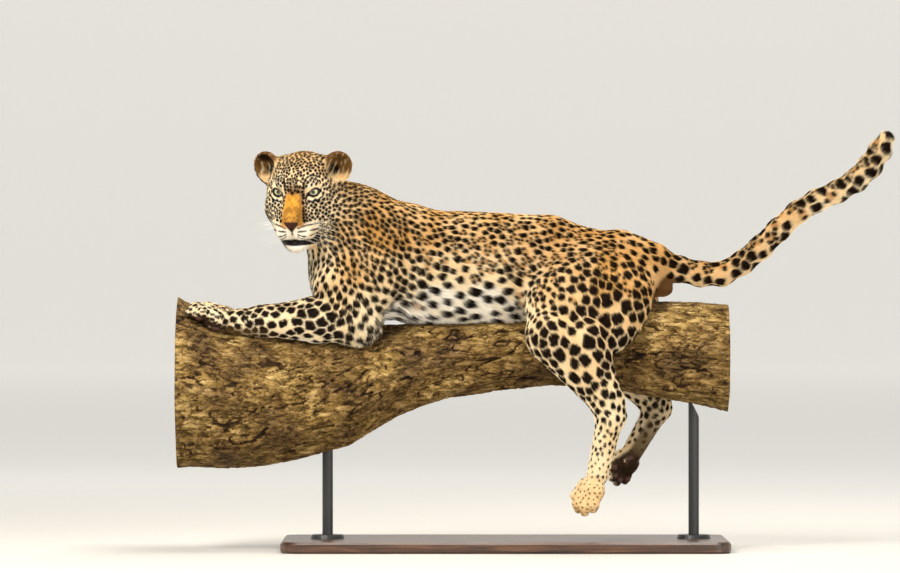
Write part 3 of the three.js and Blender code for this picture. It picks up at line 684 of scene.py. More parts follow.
    # Left hind leg
    put([90, -165, 690], [0.4, 0, -0.9], 12, 0.25, 19, 7, 1.4, 0.1)
    put([90, -185, 640], [0.3, 0, -0.95], 12, 0.35, 20, 7.4, 1.3, 0.1)
    put([240, -150, 725], [0.2, 0, -1], 12, 0.08, 26, 10.5, 1.2, 0.2)
    put([330, -130, 720], [0.3, 0, -1], 12, 0.08, 27, 11, 1.2, 0.1)
    put([190, -215, 640], [0.2, 0, -1], 12, 0.26, 33, 13, 1.2, 0.1)
    put([280, -200, 640], [0.3, 0, -1], 12, 0.24, 39, 15.8, 1.2)
    put([130, -230, 560], [0.4, 0, -0.9], 11, 0.42, 34, 13, 1.3, 0.15)
    put([230, -240, 560], [0.2, 0, -1], 11, 0.42, 42, 16.8, 1.2)
    put([200, -235, 480], [0.5, 0, -0.85], 10, 0.42, 36, 14.5, 1.3)
    put([280, -228, 430], [0.3, 0, -1], 9, 0.42, 27, 10.5, 1.3)
    put([240, -225, 380], [0.15, 0, -1], 8, 0.6, 21, 7.4, 1.4)
    put([240, -225, 300], [-0.15, 0, -1], 7, 0.62, 18, 4.6, 1.5)
    put([285, -215, 300], [-0.15, 0, -1], 7, 0.45, 16, 5.0, 1.4)
    put([235, -220, 230], [-0.2, 0, -1], 6, 0.58, 16, 3.4, 1.5)
    put([220, -230, 165], [-0.4, 0, -0.9], 5, 0.3, 14, 2.3, 1.3)
    put([212, -245, 130], [-0.4, 0, -0.9], 5, 0.3, 15, 1.9, 1.2)
    put([170, -120, 520], [0.4, 0, -0.9], 12, 0.95, 50, 12, 1.4)
    put([265, -150, 330], [0, 0, -1], 7, 0.8, 26, 6, 1.4)
    put([300, -150, 180], [-0.4, 0, -0.9], 5, 0.7, 20, 2.4, 1.4)
    # Right hind leg
    put([250, 150, 725], [0.2, 0, -1], 12, 0.08, 26, 10.5, 1.2, 0.2)
    put([200, 200, 640], [0.3, 0, -0.95], 12, 0.3, 28, 10.5, 1.3, 0.1)
    put([320, 205, 640], [0.3, 0, -1], 12, 0.24, 39, 15.6, 1.2)
    put([250, 230, 540], [0.5, 0, -0.85], 11, 0.4, 36, 15, 1.3)
    put([350, 228, 500], [0.5, 0, -0.85], 10, 0.4, 36, 14.5, 1.3)
    put([380, 225, 420], [0.5, 0, -0.85], 9, 0.45, 27, 10.5, 1.3)
    put([395, 222, 330], [-0.5, 0, -0.85], 7, 0.5, 18, 6, 1.4)
    put([350, 215, 260], [-0.5, 0, -0.85], 6, 0.6, 16, 3.8, 1.3)
    put([300, 200, 200], [-0.6, 0, -0.8], 5, 0.7, 14, 2.2, 1.3)
    put([330, 130, 470], [0.5, 0, -0.85], 10, 0.85, 34, 11, 1.4)
    put([390, 140, 340], [-0.4, 0, -0.9], 7, 0.6, 24, 7, 1.4)
    put([365, 150, 250], [-0.6, 0, -0.8], 5, 0.5, 24, 4, 1.4)
    # Tail, its upper and its lower side
    for i, (a, b) in enumerate(zip(TAIL[2:], TAIL[3:])):
        t = i / (len(TAIL) - 4)
        way = vec(*b[:3]) - vec(*a[:3])
        top = unit(np.cross(np.cross(way, [0, 0, 1]), way)) * a[3]
        put(vec(*a[:3]) + top, way, 11 + 4 * t, 0.15 + 0.2 * t, 29, 12.5, 1.3 - 0.5 * t, 0.15)
        put(vec(*a[:3]) - top, way, 12 + 6 * t, 0.3 + 0.35 * t, 36 + 8 * t, 12, 1.1)
    # Head, in its own frame
    nose = HEAD.at(*NOSE_TIP)
    for x, y, z, length, pale, space, spot, stretch in (
            (78, 0, 44, 4, 0.38, 9.8, 4.3, 1.8), (30, 0, 74, 5.5, 0.22, 10.6, 4.8, 1.7),
            (-40, 0, 84, 9, 0.12, 12.4, 5.1, 1.5), (-100, 0, 66, 14, 0.04, 14.5, 6.0, 1.5),
            (66, 44, 34, 4, 0.56, 10.2, 4.3, 1.7), (20, 66, 54, 5.5, 0.32, 11.2, 4.9, 1.5),
            (120, 0, -18, 3, 0.2, 10, 4.0, 1.4), (58, 84, 4, 7, 0.62, 12, 4.9, 1.4),
            (50, 92, -30, 9, 0.52, 13.6, 5.6, 1.4), (10, 102, -20, 13, 0.26, 15, 6.4, 1.4),
            (-30, 104, -50, 15, 0.10, 16.5, 7.0, 1.4), (0, 92, -96, 15, 0.34, 16.5, 7.0, 1.4),
            (86, 58, -44, 5, 0.62, 10.8, 4.4, 1.4), (72, 74, -60, 7, 0.64, 12.2, 5.0, 1.3),
            (110, 38, -46, 4, 0.58, 10.2, 3.8, 1.4), (112, 50, -78, 5, 0.68, 11, 4.2, 1.4),
            (60, 66, -106, 11, 0.66, 13.5, 5.6, 1.4), (150, 22, -84, 3, 0.8, 10, 4, 1),
            (130, 0, -140, 10, 1.0, 14, 4.5, 1), (60, 0, -148, 20, 1.0, 26, 6, 1.5),
            (-60, 86, 30, 10, 0.04, 15, 6.0, 1.4)):
        for s in ((1,) if y == 0 else (-1, 1)):
            at = HEAD.at(x, s * y, z)
            put(at, at - nose, length, pale, space, spot, stretch)
    for s in (-1, 1):
        put(HEAD.at(-6, s * 82, 14), HEAD.u + HEAD.l * s * 0.9, 20, 0.4, 14, 5)  # hair before and in the ear
        put(HEAD.at(-14, s * 96, 30), HEAD.u + HEAD.l * s * 0.5, 16, 0.2, 14, 5)
        put(HEAD.at(-24, s * 104, 76), HEAD.u + HEAD.l * s * 0.4, 6, 0.0, 14, 5)
    return np.array(rows, F32)


LENGTH, PALE, SPACE, SPOT, STRETCH, ROSETTES = range(3, 9)  # columns of what coat_at() gives
COMB_REACH = 22.0  # a row's say starts to fade at about this distance
ROWS_AT_ONCE = 60000


def coat_at(points):
    """What comb() says at each point, blended from the nearest rows: lie (3), then LENGTH to ROSETTES."""
    rows = comb()
    out = []
    for part in np.array_split(points, max(1, len(points) // ROWS_AT_ONCE)):
        square = (part * part).sum(1)[:, None] + (rows[:, :3] ** 2).sum(1)[None] - 2 * part @ rows[:, :3].T
        weight = 1 / (np.maximum(square, 0) + F32(COMB_REACH ** 2)) ** 2
        weight /= weight.sum(1, keepdims=True)
        out.append(weight @ rows[:, 3:])
    return np.concatenate(out)


def flat_along(ways, normals):
    """Ways laid flat on the skin, as unit rows."""
    return unit_rows(ways - normals * (ways * normals).sum(1)[:, None])


class Hills:
    """Smooth unevenness in space, mostly from -1 to 1: a few crossed waves of about one size, from a seed."""

    def __init__(self, seed, size, count=9):
        draw = np.random.default_rng(seed)
        self.ways = unit_rows(draw.normal(size=(count, 3))) * draw.uniform(0.6, 1.7, (count, 1))
        self.ways = (self.ways * 2 * math.pi / size).astype(F32)
        self.starts = draw.uniform(0, 2 * math.pi, count).astype(F32)

    def __call__(self, points):
        return np.sin(points @ self.ways.T + self.starts).sum(1) / F32(math.sqrt(len(self.starts)))


# Colours of the coat and the bare parts, from the photograph
# Of these, hollow is painted shade deep in the ear's cup, and bridge is both the darker streaks of the nose's
# bridge and the painted shade on one side of it.
COAT_COLOURS = {
    "golden": "#cf9f5a", "tan": "#e6c592", "cream": "#f4e2be", "white": "#fbf5e9", "spot": "#130500",
    "heart": "#c08f52", "bridge": "#9c6a14", "amber": "#d69c30", "rust": "#6b4019", "ear": "#6b441b",
    "cup": "#7d5a2c", "hollow": "#110a06", "leather": "#3f231a", "lip": "#0a0a0b", "sole": "#2c1a10",
    "olive": "#5d4522",
}
TONES = {name: np.array(linear(colour), F32)[None] for name, colour in COAT_COLOURS.items()}


def head_view(points):
    """Points in the head's frame as forward, left and up, and how much each belongs to the head."""
    h = HEAD.seen(points)
    return h, ease(np.linalg.norm(points - HEAD_CENTRE.astype(F32), axis=1), 235, 190)


def oval(h, at, size):
    """How deep inside an ellipsoid in the head's frame, on both sides: 1 in the middle, 0 outside."""
    d = np.sqrt(((h[:, 0] - at[0]) / size[0]) ** 2 + ((np.abs(h[:, 1]) - at[1]) / size[1]) ** 2
                + ((h[:, 2] - at[2]) / size[2]) ** 2)
    return ease(d, 1.2, 0.75)


def ground_colour(points, pale):
    """The coat's colour between its spots."""
    uneven = Hills(3, 120)(points) * 0.05 + Hills(4, 35)(points) * 0.03
    pale = np.clip(pale + uneven, 0, 1)
    colour = blended(TONES["golden"], TONES["tan"], ease(pale, 0.0, 0.28))
    colour = blended(colour, TONES["cream"], ease(pale, 0.22, 0.66))
    colour = blended(colour, TONES["white"], ease(pale, 0.6, 0.95))
    rust = ease(np.linalg.norm(points - np.array([425, 0, 684], F32), axis=1), 60, 40)
    colour = blended(colour, TONES["rust"], rust * 0.9)
    h, in_head = head_view(points)
    colour = face_colour(colour, h, in_head)
    return ear_colour(colour, points, h, in_head)


# Paler places on the face, in the head's frame: where, how large and how strong
PALE_PLACES = (
    ((72, 48, -19), (24, 20, 5), 0.7),  # below the eye
    ((70, 42, 22), (24, 13, 7), 0.4),  # over the eye
    ((150, 20, -88), (30, 26, 20), 0.7),  # whisker pad
    ((125, 0, -140), (44, 40, 18), 1.0),  # chin
)


def face_colour(colour, h, in_head):
    """Adds the golden bridge with its rusty edge, the specks on the nose and the pale places. The bridge
    turns darker towards the head's left side, and its rusty edge is stronger there, as painted shade.
    """
    x, y, z = h[:, 0], np.abs(h[:, 1]), h[:, 2]
    wide = 19 + 12 * ease(x, 84, 146) + 3 * Hills(44, 24)(h)
    bridge = ease(y, wide + 11, wide - 8) * ease(x, 64, 104) * ease(z, -104, -70) * ease(z, 26, 2)
    streak = Hills(41, 9)(h * np.array([0.25, 1, 1], F32)) + Hills(45, 40)(h)
    # Lighter and darker streaks of hair, and towards the head's left side a shift to the darker tone that is
    # painted shade.
    lit = ease(streak - h[:, 1] / 20, -1.4, 1.6)
    colour = blended(colour, blended(TONES["bridge"], TONES["amber"], lit), bridge * in_head * 0.94)
    beside = ease(y, wide - 9, wide + 5) * ease(y, wide + 17, wide + 5) * ease(x, 80, 96) * ease(z, -74, -50)
    # The rusty line beside the bridge is a real mark; it is stronger on the head's left side (0.8 against
    # 0.25) as painted shade.
    colour = blended(colour, TONES["rust"], beside * in_head * np.where(h[:, 1] > 0, 0.8, 0.25))
    colour = blended(colour, TONES["rust"], oval(h, (84, 0, 12), (24, 20, 17)) * in_head * 0.7)
    specks = ease(Hills(46, 7)(h), 0.1, 0.8) * oval(h, (150, 0, -48), (26, 34, 14))
    colour = blended(colour, TONES["rust"], specks * in_head * 0.7)
    for at, size, strength in PALE_PLACES:
        colour = blended(colour, TONES["white"], oval(h, at, size) * in_head * strength)
    return colour


def ear_colour(colour, points, h, in_head):
    """Adds the brown backs of the ears and their brown, streaked cups, with painted shade that is near black
    deep in each cup.
    """
    y, z = np.abs(h[:, 1]), h[:, 2]
    for s in (-1, 1):
        outer, inner, _ = ear_distance(points, s)
        on_ear = ease(outer, 5, 1) * ease(np.hypot(y, z), 84, 96) * ease(z, 12, 24) * in_head
        colour = blended(colour, TONES["ear"], on_ear * 0.95)
        in_cup = ease(inner, 3, 0.5) * in_head
        cup = ear_axes(s).seen(points)
        colour = blended(colour, TONES["cup"], in_cup * 0.9 * ease(z, 8, 22))
        across, up = cup[:, 1] * s, cup[:, 2]
        # Painted shade: near black deep in the cup, where the ear's hollow is darkest.
        hollow = ease(np.hypot((across + 3) / 19, (up + 8) / 17), 1.25, 0.5)
        colour = blended(colour, TONES["hollow"], in_cup * hollow)
        streak = ease(Hills(43, 9)(cup * np.array([1, 1, 0.3], F32)), 0.2, 1.1)
        colour = blended(colour, TONES["cream"], np.maximum(in_cup, on_ear * 0.4) * streak * 0.6)
    return colour


def bare_share(points):
    """How bare the skin is at the nose, at the lips and at the rims of the lids."""
    h, in_head = head_view(points)
    x, y, z = h[:, 0], np.abs(h[:, 1]), h[:, 2]
    side = 19 - 0.8 * np.maximum(-60 - z, 0)
    nose = ease(x, 140, 146) * ease(z + 0.008 * y * y, -48, -51) * ease(y, side + 1, side - 1.5)
    nose *= ease(z, -82, -78) * in_head
    band = z + 122 - 0.22 * (x - 116)
    lip = ease(np.abs(band), 9.5, 7.5) * ease(x, 74, 84) * ease(y, 54, 46) * in_head
    rim = np.zeros(len(points), F32)
    near = in_head > 0
    if near.any():
        p = points[near]
        found = np.zeros(len(p), F32)
        for path, radius in lip_bands():
            found = np.maximum(found, ease(chain_distance(p, path, radius), 0.8, -0.8))
        lip[near] = np.maximum(lip[near], found)
        found = np.zeros(len(p), F32)
        for s in (-1, 1):
            opening, ahead = almond(p, s)
            found = np.maximum(found, ease(opening, 6.4, 5.0) * (ahead > 0))
        rim[near] = found
    return nose, lip, rim


@functools.lru_cache(None)
def lip_bands():
    """Dark corners of mouth and eyes and the cleft under the nose: paths on the skin, half their width."""
    bands = []
    for s in (-1, 1):
        corner = [(112, 38, -124), (100, 44, -122), (92, 50, -117)]
        bands.append((on_skin([(x, s * y, z) for x, y, z in corner]), 10))
        lid = [(70, 31, 0), (82, 29, -6)]
        bands.append((on_skin([(x, s * y, z) for x, y, z in lid]), 3.6))
    bands.append((on_skin([(170, 0, -74), (166, 0, -88), (160, 0, -106)]), 2.4))
    return bands


def on_skin(places):
    """Places in the head's frame, drawn onto the skin."""
    return drawn([HEAD.at(*place) for place in places], bare_skin, 5, 25).astype(float)


# How uneven the edge of a spot is: waves in one turn and their height, as a share of the spot's size
EDGE_WAVES = ((2, 0.06), (3, 0.06), (4, 0.07), (5, 0.03))
OFF = 9  # farther from a spot's middle than any edge, in spots


class Marks:
    """Dark and warm marks on the coat: uneven ovals and dark lines on the skin."""

    def __init__(self):
        self.rows = []
        self.strokes = []

    def stroke(self, path, first, last):
        """A dark line along a path on the skin. Half its width goes from first to last."""
        widths = np.linspace(first, last, len(path))
        for a, b, wa, wb in zip(path, path[1:], widths, widths[1:]):
            self.strokes.append((a, b, wa, wb))

    def put(self, at, normal, along, half, width, warm, draw):
        along = unit(along - normal * (along @ normal))
        phases = draw.uniform(0, 2 * math.pi, len(EDGE_WAVES))
        self.rows.append((at, normal, along, np.cross(normal, along), half, width, warm, phases))

    def spread(self, points, normals):
        """How dark and how warm each point is, from 0 to 1. A pale gap is kept between neighbouring spots."""
        order = np.argsort(points[:, 0])
        p = points[order]
        n = normals[order]
        warm = np.zeros(len(p), F32)
        nearest = np.full(len(p), OFF, F32)
        second = np.full(len(p), OFF, F32)
        for at, normal, along, across, half, width, is_warm, phases in self.rows:
            reach = 1.8 * max(half, width)
            first, last = np.searchsorted(p[:, 0], [at[0] - reach, at[0] + reach])
            away = p[first:last] - at.astype(F32)
            close = np.flatnonzero((away * away).sum(1) < reach * reach)
            if not len(close):
                continue
            away = away[close]
            u = away @ along.astype(F32) / F32(half)
            v = away @ across.astype(F32) / F32(width)
            angle = np.arctan2(v, u)
            edge = 1 + sum(size * np.sin(times * angle + phase)
                           for (times, size), phase in zip(EDGE_WAVES, phases))
            d = np.sqrt(u * u + v * v) / edge
            d[n[first:last][close] @ normal.astype(F32) < 0.1] = OFF
            index = first + close
            if is_warm:
                warm[index] = np.maximum(warm[index], ease(d, 1.06, 0.9))
            else:
                second[index] = np.minimum(second[index], np.maximum(nearest[index], d))
                nearest[index] = np.minimum(nearest[index], d)
        dark = ease(nearest, 1.07, 0.94) * ease(second - nearest, SPOT_GAP * 0.4, SPOT_GAP)
        for a, b, wa, wb in self.strokes:
            reach = max(wa, wb) + 3
            first, last = np.searchsorted(p[:, 0], [min(a[0], b[0]) - reach, max(a[0], b[0]) + reach])
            if first < last:
                found = ease(cone(a, b, wa, wb)[3](p[first:last]), 0.6, -0.6)
                dark[first:last] = np.maximum(dark[first:last], found)
        back = np.empty(len(p), int)
        back[order] = np.arange(len(p))
        return dark[back], warm[back]


SPREAD = 0.76  # the least distance between two spots, as a share of the space that comb() gives
SPOT_SIZE = 1.28  # of a spot, as a share of the size that comb() gives
SPOT_GAP = 0.3  # the pale gap between two spots, as a share of their half length
SMALLEST_SPOT = 1.5


def without_spots(points):
    """Whether each point lies where the head has no scattered spots."""
    h = HEAD.seen(points)
    in_head = np.linalg.norm(points - HEAD_CENTRE.astype(F32), axis=1) < 190
    bridge = (np.abs(h[:, 1]) < 21 + 8 * ease(h[:, 0], 84, 140)) & (h[:, 0] > 60) & (h[:, 2] < 8)
    muzzle = (h[:, 0] > 96) & (h[:, 2] < -60) & (np.abs(h[:, 1]) < 62)
    chin = (h[:, 0] > 70) & (h[:, 2] < -112) & (np.abs(h[:, 1]) < 48)
    eyes = (h[:, 0] > 40) & (np.abs(np.abs(h[:, 1]) - 47) < 21) & (np.abs(h[:, 2] - 2) < 20)
    ears = np.minimum(ear_distance(points, -1)[0], ear_distance(points, 1)[0]) < 5
    return in_head & (bridge | muzzle | chin | ears | eyes)


def scatter_marks(skin, marks, draw):
    """Spots and rosettes over the whole skin, as far apart as comb() says."""
    points, coat = skin["points"], skin["coat"]
    clear = ~without_spots(points) & (coat[:, SPOT] > SMALLEST_SPOT)
    order = np.argsort(points[:, 0])
    p = points[order]
    need = coat[order, SPACE] * SPREAD
    free = clear[order]
    for i in draw.permutation(np.flatnonzero(free)):
        if not free[i]:
            continue
        first, last = np.searchsorted(p[:, 0], [p[i, 0] - need[i] * 1.3, p[i, 0] + need[i] * 1.3])
        away = p[first:last] - p[i]
        gap = (need[first:last] + need[i]) / 2
        free[first:last] &= (away * away).sum(1) > gap * gap
        spot_at(marks, order[i], skin, draw)


def spot_at(marks, i, skin, draw):
    """One spot or rosette at vertex i."""
    at, normal, along = (skin[name][i].astype(float) for name in ("points", "normals", "lie"))
    space, spot, stretch, rosettes = skin["coat"][i][SPACE:]
    half = spot * SPOT_SIZE * draw.uniform(0.85, 1.18)
    width = half / (1 + (stretch - 1) * draw.uniform(0.4, 1.0))
    turn = draw.normal(0, 0.2)
    across = np.cross(normal, along)
    way = along * math.cos(turn) + across * math.sin(turn)
    side = np.cross(normal, way)
    if draw.random() >= rosettes:
        marks.put(at, normal, way, half, width, False, draw)
        return
    ring = space * 0.32 * draw.uniform(0.9, 1.12)
    marks.put(at, normal, way, ring * 1.1, ring * 0.95, True, draw)
    count = draw.integers(2, 5)
    gap = draw.uniform(0, 2 * math.pi)
    spread = draw.uniform(0.75, 1.0)
    for j in range(count):
        angle = gap + 2 * math.pi * spread * (j + 0.5 * draw.uniform(-0.4, 0.4)) / count
        out = way * math.cos(angle) * 1.12 + side * math.sin(angle) * 0.9
        around = -way * math.sin(angle) + side * math.cos(angle)
        lobe = ring * draw.uniform(0.62, 0.86)
        marks.put(at + out * ring, normal, around, lobe, ring * draw.uniform(0.5, 0.64), False, draw)


# Lines on each side of the face, in the head's frame: half the width at the start and end, then the places
FACE_LINES = (
    (4.0, 2.0, (78, 30, 0), (90, 27, -10), (100, 26, -22)),  # tear line
    (3.6, 1.8, (64, 61, 5), (56, 72, 10), (44, 82, 15)),  # out from the eye's corner
    (2.4, 2.2, (88, 34, -20), (82, 45, -24), (74, 58, -21), (62, 71, -12)),  # below the eye
    (2.8, 2.4, (84, 24, 14), (80, 25, 26), (72, 30, 40)),  # up from the inner corner
    (2.4, 2.0, (66, 40, 34), (62, 50, 33), (56, 60, 29)),  # over the brow
    (2.3, 1.9, (60, 42, 46), (56, 52, 45), (48, 64, 42)),
    (1.8, 2.4, (156, 18, -71), (140, 31, -72), (118, 44, -73), (100, 54, -74)),  # whisker rows
    (2.1, 2.8, (160, 17, -80), (148, 30, -82), (126, 43, -85), (102, 56, -88)),
    (2.1, 2.7, (163, 15, -89), (150, 30, -92), (128, 44, -97), (108, 54, -102)),
    (1.7, 2.2, (163, 14, -98), (150, 28, -103), (132, 40, -108)),
)


BROW_SPOTS = (-9, 8, -3, 12, -13, 3, -7)  # how far to the left each spot between the eyes lies


def face_spot(marks, place, along, width, draw):
    """One small spot at a place in the head's frame."""
    at = on_skin([place])[0]
    normal = unit(slope(np.array([at], F32), bare_skin)[0].astype(float))
    marks.put(at, normal, along, 5.0, width, False, draw)


def face_marks(marks, draw):
    """Whisker rows, tear lines and brow, the small spots of the cheeks and those between the eyes."""
    for s in (-1, 1):
        for first, last, *places in FACE_LINES:
            marks.stroke(on_skin([(x, s * y, z) for x, y, z in places]), first, last)
        for row in range(4):
            for turn in range(5):
                x, y, z = 96 - 12 * row, 62 + 5 * row + 2 * (turn % 2), -74 - 9 * turn
                face_spot(marks, (x, s * y, z), HEAD.l * s - HEAD.f, 3.5, draw)
    for i, y in enumerate(BROW_SPOTS):
        face_spot(marks, (88 - 2 * i, y, 16 + 4 * i), HEAD.u, 3.0, draw)


FIRST_BAR = 9  # the bend of the tail where its bars start


def tail_marks(marks, draw):
    """Bars across the last third of the tail, each of three wide spots."""
    path = np.array([row[:3] for row in TAIL], float)
    for i in range(FIRST_BAR, len(path) - 1):
        way = unit(path[i + 1] - path[i])
        top = unit(np.cross(np.cross(way, [0, 0, 1]), way))
        side = np.cross(way, top)
        for turn in (-0.75, 0.0, 0.75):
            normal = top * math.cos(turn) + side * math.sin(turn)
            at = path[i] + normal * (TAIL[i][3] - 5.5)
            marks.put(at, normal, np.cross(way, normal), 17, 8.5, False, draw)


@functools.lru_cache(None)
def leopard_skin():
    """The skin as arrays: points, quads, normals, what the coat is there, its lie and its marks."""
    # The grid is finest over the head and the forepaws
    grid = [
        ticks(-880, [[-700, 4.2], [-650, 5], [-420, 2.5], [480, 6.6], [1050, 5.4]]),
        ticks(-300, [[-220, 6], [20, 3.0], [300, 6]]),
        ticks(40, [[290, 4.6], [800, 6.6], [1090, 2.7], [1130, 5]]),
    ]
    grid, value = field_on_grid(grid, skin_distance)
    points, quads = largest_piece(*net(grid, value))
    points = drawn(points, skin_distance, 2, 1.6)
    normals = unit_rows(slope(points, skin_distance))
    points = folded(points, normals)
    coat = coat_at(points)
    skin = {"points": points, "quads": quads, "normals": normals, "coat": coat}
    skin["lie"] = flat_along(coat[:, :3], normals)
    marks = Marks()
    draw = np.random.default_rng(21)
    scatter_marks(skin, marks, draw)
    face_marks(marks, draw)
    tail_marks(marks, draw)
    skin["marks"] = marks
    return skin


def pelt(points, normals, coat, marks):
    """The colour of skin and coat at points on the skin, and how bare it is there."""
    colour = ground_colour(points, coat[:, PALE])
    dark, warm = marks.spread(points, normals)
    colour = blended(colour, TONES["heart"], warm * 0.7 * ease(coat[:, PALE], 1.0, 0.7))
    colour = blended(colour, TONES["spot"], dark * 0.995)
    for p, w in PAWS.values():
        local = p.seen(points)
        under = ease(normals @ p.u.astype(F32), -0.35, -0.7) * ease(np.abs(local[:, 1]), 60 * w, 45 * w)
        ahead = local[:, 0]
        instep = under * ease(ahead, -190, -60) * ease(ahead, 90, 60)
        colour = blended(colour, TONES["olive"], instep * 0.85)
        sole = under * ease(ahead, -60, -10) * ease(ahead, 90, 60)
        colour = blended(colour, TONES["sole"], sole * 0.9)
    nose, lip, rim = bare_share(points)
    colour = blended(colour, TONES["leather"], nose)
    colour = blended(colour, TONES["lip"], np.maximum(lip, rim))
    return colour, np.maximum(np.maximum(nose, lip), rim)


def linked(name, mesh):
    """A mesh as an object in the scene."""
    piece = bpy.data.objects.new(name, mesh)
    bpy.context.scene.collection.objects.link(piece)
    return piece


def add_values(mesh, values):
    """Stores values on a mesh's points, by name."""
    for key, value in values.items():
        layer = mesh.attributes.new(key, "FLOAT", "POINT")
        layer.data.foreach_set("value", np.asarray(value, F32))


def make_mesh(name, points, faces, colours=None, smooth=True, uv=None, **values):
    """A mesh object from points in millimetres and faces of three or four corners each."""
    mesh = bpy.data.meshes.new(name)
    faces = np.asarray(faces, np.int32)
    sides = faces.shape[1]
    mesh.vertices.add(len(points))
    mesh.vertices.foreach_set("co", (np.asarray(points, np.float64) * MM).astype(F32).ravel())
    mesh.loops.add(faces.size)
    mesh.loops.foreach_set("vertex_index", faces.ravel())
    mesh.polygons.add(len(faces))
    mesh.polygons.foreach_set("loop_start", np.arange(0, faces.size, sides, dtype=np.int32))
    mesh.polygons.foreach_set("loop_total", np.full(len(faces), sides, np.int32))
    mesh.update(calc_edges=True)
    if colours is not None:
        layer = mesh.color_attributes.new("pelt", "FLOAT_COLOR", "POINT")
        rgba = np.concatenate([colours, np.ones((len(colours), 1))], 1).astype(F32)
        layer.data.foreach_set("color", rgba.ravel())
    add_values(mesh, values)
    if uv is not None:
        layer = mesh.uv_layers.new(name="OFBake")
        layer.data.foreach_set("uv", uv[faces.ravel()].astype(F32).ravel())
    if smooth:
        mesh.shade_smooth()
    else:
        mesh.shade_flat()
    mesh.validate()
    return linked(name, mesh)


def add_piece(piece, material, nodes=()):
    """Gives a piece its material and its place in the frame."""
    piece.data.materials.clear()
    piece.data.materials.append(material)
    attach(piece, "root")
    if nodes:
        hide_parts(*nodes)


def add_node(tree, kind, inputs=None, **settings):
    """A node with its settings, whose inputs are constants or the outputs of other nodes."""
    node = tree.nodes.new(kind)
    for name, value in settings.items():
        setattr(node, name, value)
    for name, value in (inputs or {}).items():
        socket = node.inputs[name]
        if isinstance(value, bpy.types.NodeSocket):
            tree.links.new(value, socket)
        else:
            socket.default_value = value
    return node


def new_material(name):
    """An empty material and its node tree."""
    material = bpy.data.materials.new(name)
    material.use_nodes = True
    tree = material.node_tree
    tree.nodes.clear()
    return material, tree


def finish_material(tree, shader):
    """Joins a shader to a new output."""
    add_node(tree, "ShaderNodeOutputMaterial", {"Surface": shader.outputs[0]})


COLOUR_A, COLOUR_B, MIXED = 6, 7, 2  # the colour sockets of a mix node


def per_metre(millimetres):
    """A pattern's scale for features of this size."""
    return 1000.0 / millimetres


def ramp(tree, fac, stops):
    """A colour ramp through (position, hex) stops."""
    node = add_node(tree, "ShaderNodeValToRGB", {"Fac": fac})
    elements = node.color_ramp.elements
    while len(elements) < len(stops):
        elements.new(0.5)
    for element, (position, colour) in zip(elements, stops):
        element.position = position
        element.color = (*linear(colour), 1)
    return node


def mixed_colour(tree, share, first, second, blend):
    """The output that blends the second colour into the first one by share."""
    node = add_node(tree, "ShaderNodeMix", {"Factor": share}, data_type="RGBA", blend_type=blend)
    tree.links.new(first, node.inputs[COLOUR_A])
    tree.links.new(second, node.inputs[COLOUR_B])
    return node.outputs[MIXED]


def skin_material():
    """Skin with short lying fur: the hair's fine streaks as bump, leather where it is bare."""
    material, tree = new_material("Short fur on skin, lying flat")
    pelt_colour = add_node(tree, "ShaderNodeAttribute", attribute_name="pelt")
    leather = add_node(tree, "ShaderNodeAttribute", attribute_name="leather")
    place = add_node(tree, "ShaderNodeTexCoord").outputs["Object"]
    streaks = add_node(tree, "ShaderNodeTexNoise", {"Vector": place, "Scale": per_metre(4), "Detail": 3.0})
    light = add_node(tree, "ShaderNodeMapRange", {"Value": streaks.outputs[0], "To Min": 0.8, "To Max": 1.16})
    shade = add_node(tree, "ShaderNodeHueSaturation", {
        "Value": light.outputs[0], "Color": pelt_colour.outputs["Color"]})
    rough = add_node(tree, "ShaderNodeMapRange", {
        "Value": leather.outputs["Fac"], "To Min": 0.78, "To Max": 0.36})
    bump = add_node(tree, "ShaderNodeBump", {
        "Height": streaks.outputs[0], "Strength": 0.35, "Distance": 0.001})
    shader = add_node(tree, "ShaderNodeBsdfPrincipled", {
        "Base Color": shade.outputs[0], "Roughness": rough.outputs[0], "Normal": bump.outputs[0],
        "IOR": 1.45, "Specular IOR Level": 0.2})
    finish_material(tree, shader)
    return material


def coat_material():
    """Guard hair: soft and nearly matt, in the colours that its tufts carry."""
    material, tree = new_material("Guard hair, short and soft")
    pelt_colour = add_node(tree, "ShaderNodeAttribute", attribute_name="pelt")
    shader = add_node(tree, "ShaderNodeBsdfPrincipled", {
        "Base Color": pelt_colour.outputs["Color"], "Roughness": 0.7, "IOR": 1.5,
        "Specular IOR Level": 0.07})
    finish_material(tree, shader)
    return material


class BodySettings(bpy.types.PropertyGroup):
    """Sizes of the whiskers and the coat"""
    whisker_length: bpy.props.FloatProperty(
        name="Whisker length", description="Longest whisker", default=0.088, unit="LENGTH", min=0.02, max=0.3)
    whisker_count: bpy.props.IntProperty(
        name="Whiskers in a row", description="Whiskers in each row on each side", default=4, min=1, max=12)
    tufts: bpy.props.IntProperty(
        name="Tufts", description="Most tufts in one piece of the coat", default=48000, min=100, max=49000)
    hair_width: bpy.props.FloatProperty(
        name="Tuft width", description="Width of a tuft on the back", default=0.0019, unit="LENGTH")


class StageSettings(bpy.types.PropertyGroup):
    """The camera, the floor and the lights"""
    floor: bpy.props.FloatVectorProperty(
        name="Floor", description="Colour of floor and backdrop", subtype="COLOR", default=linear("#d2d0cb"))
    distance: bpy.props.FloatProperty(
        name="Camera distance", description="From the camera to the animal", default=14.0, unit="LENGTH")
    light: bpy.props.FloatProperty(
        name="Light", description="Strength of all lights", default=520.0, unit="POWER")


NECK_END = -330  # where the neck's coat meets that of the sides
LEGS = {
    "front_legs": ("foreleg_left", "forepaw_left", "foreleg_right", "forepaw_right"),
    "hind_leg_left": ("hindleg_left", "hindpaw_left"),
    "hind_leg_right": ("hindleg_right", "hindpaw_right"),
}


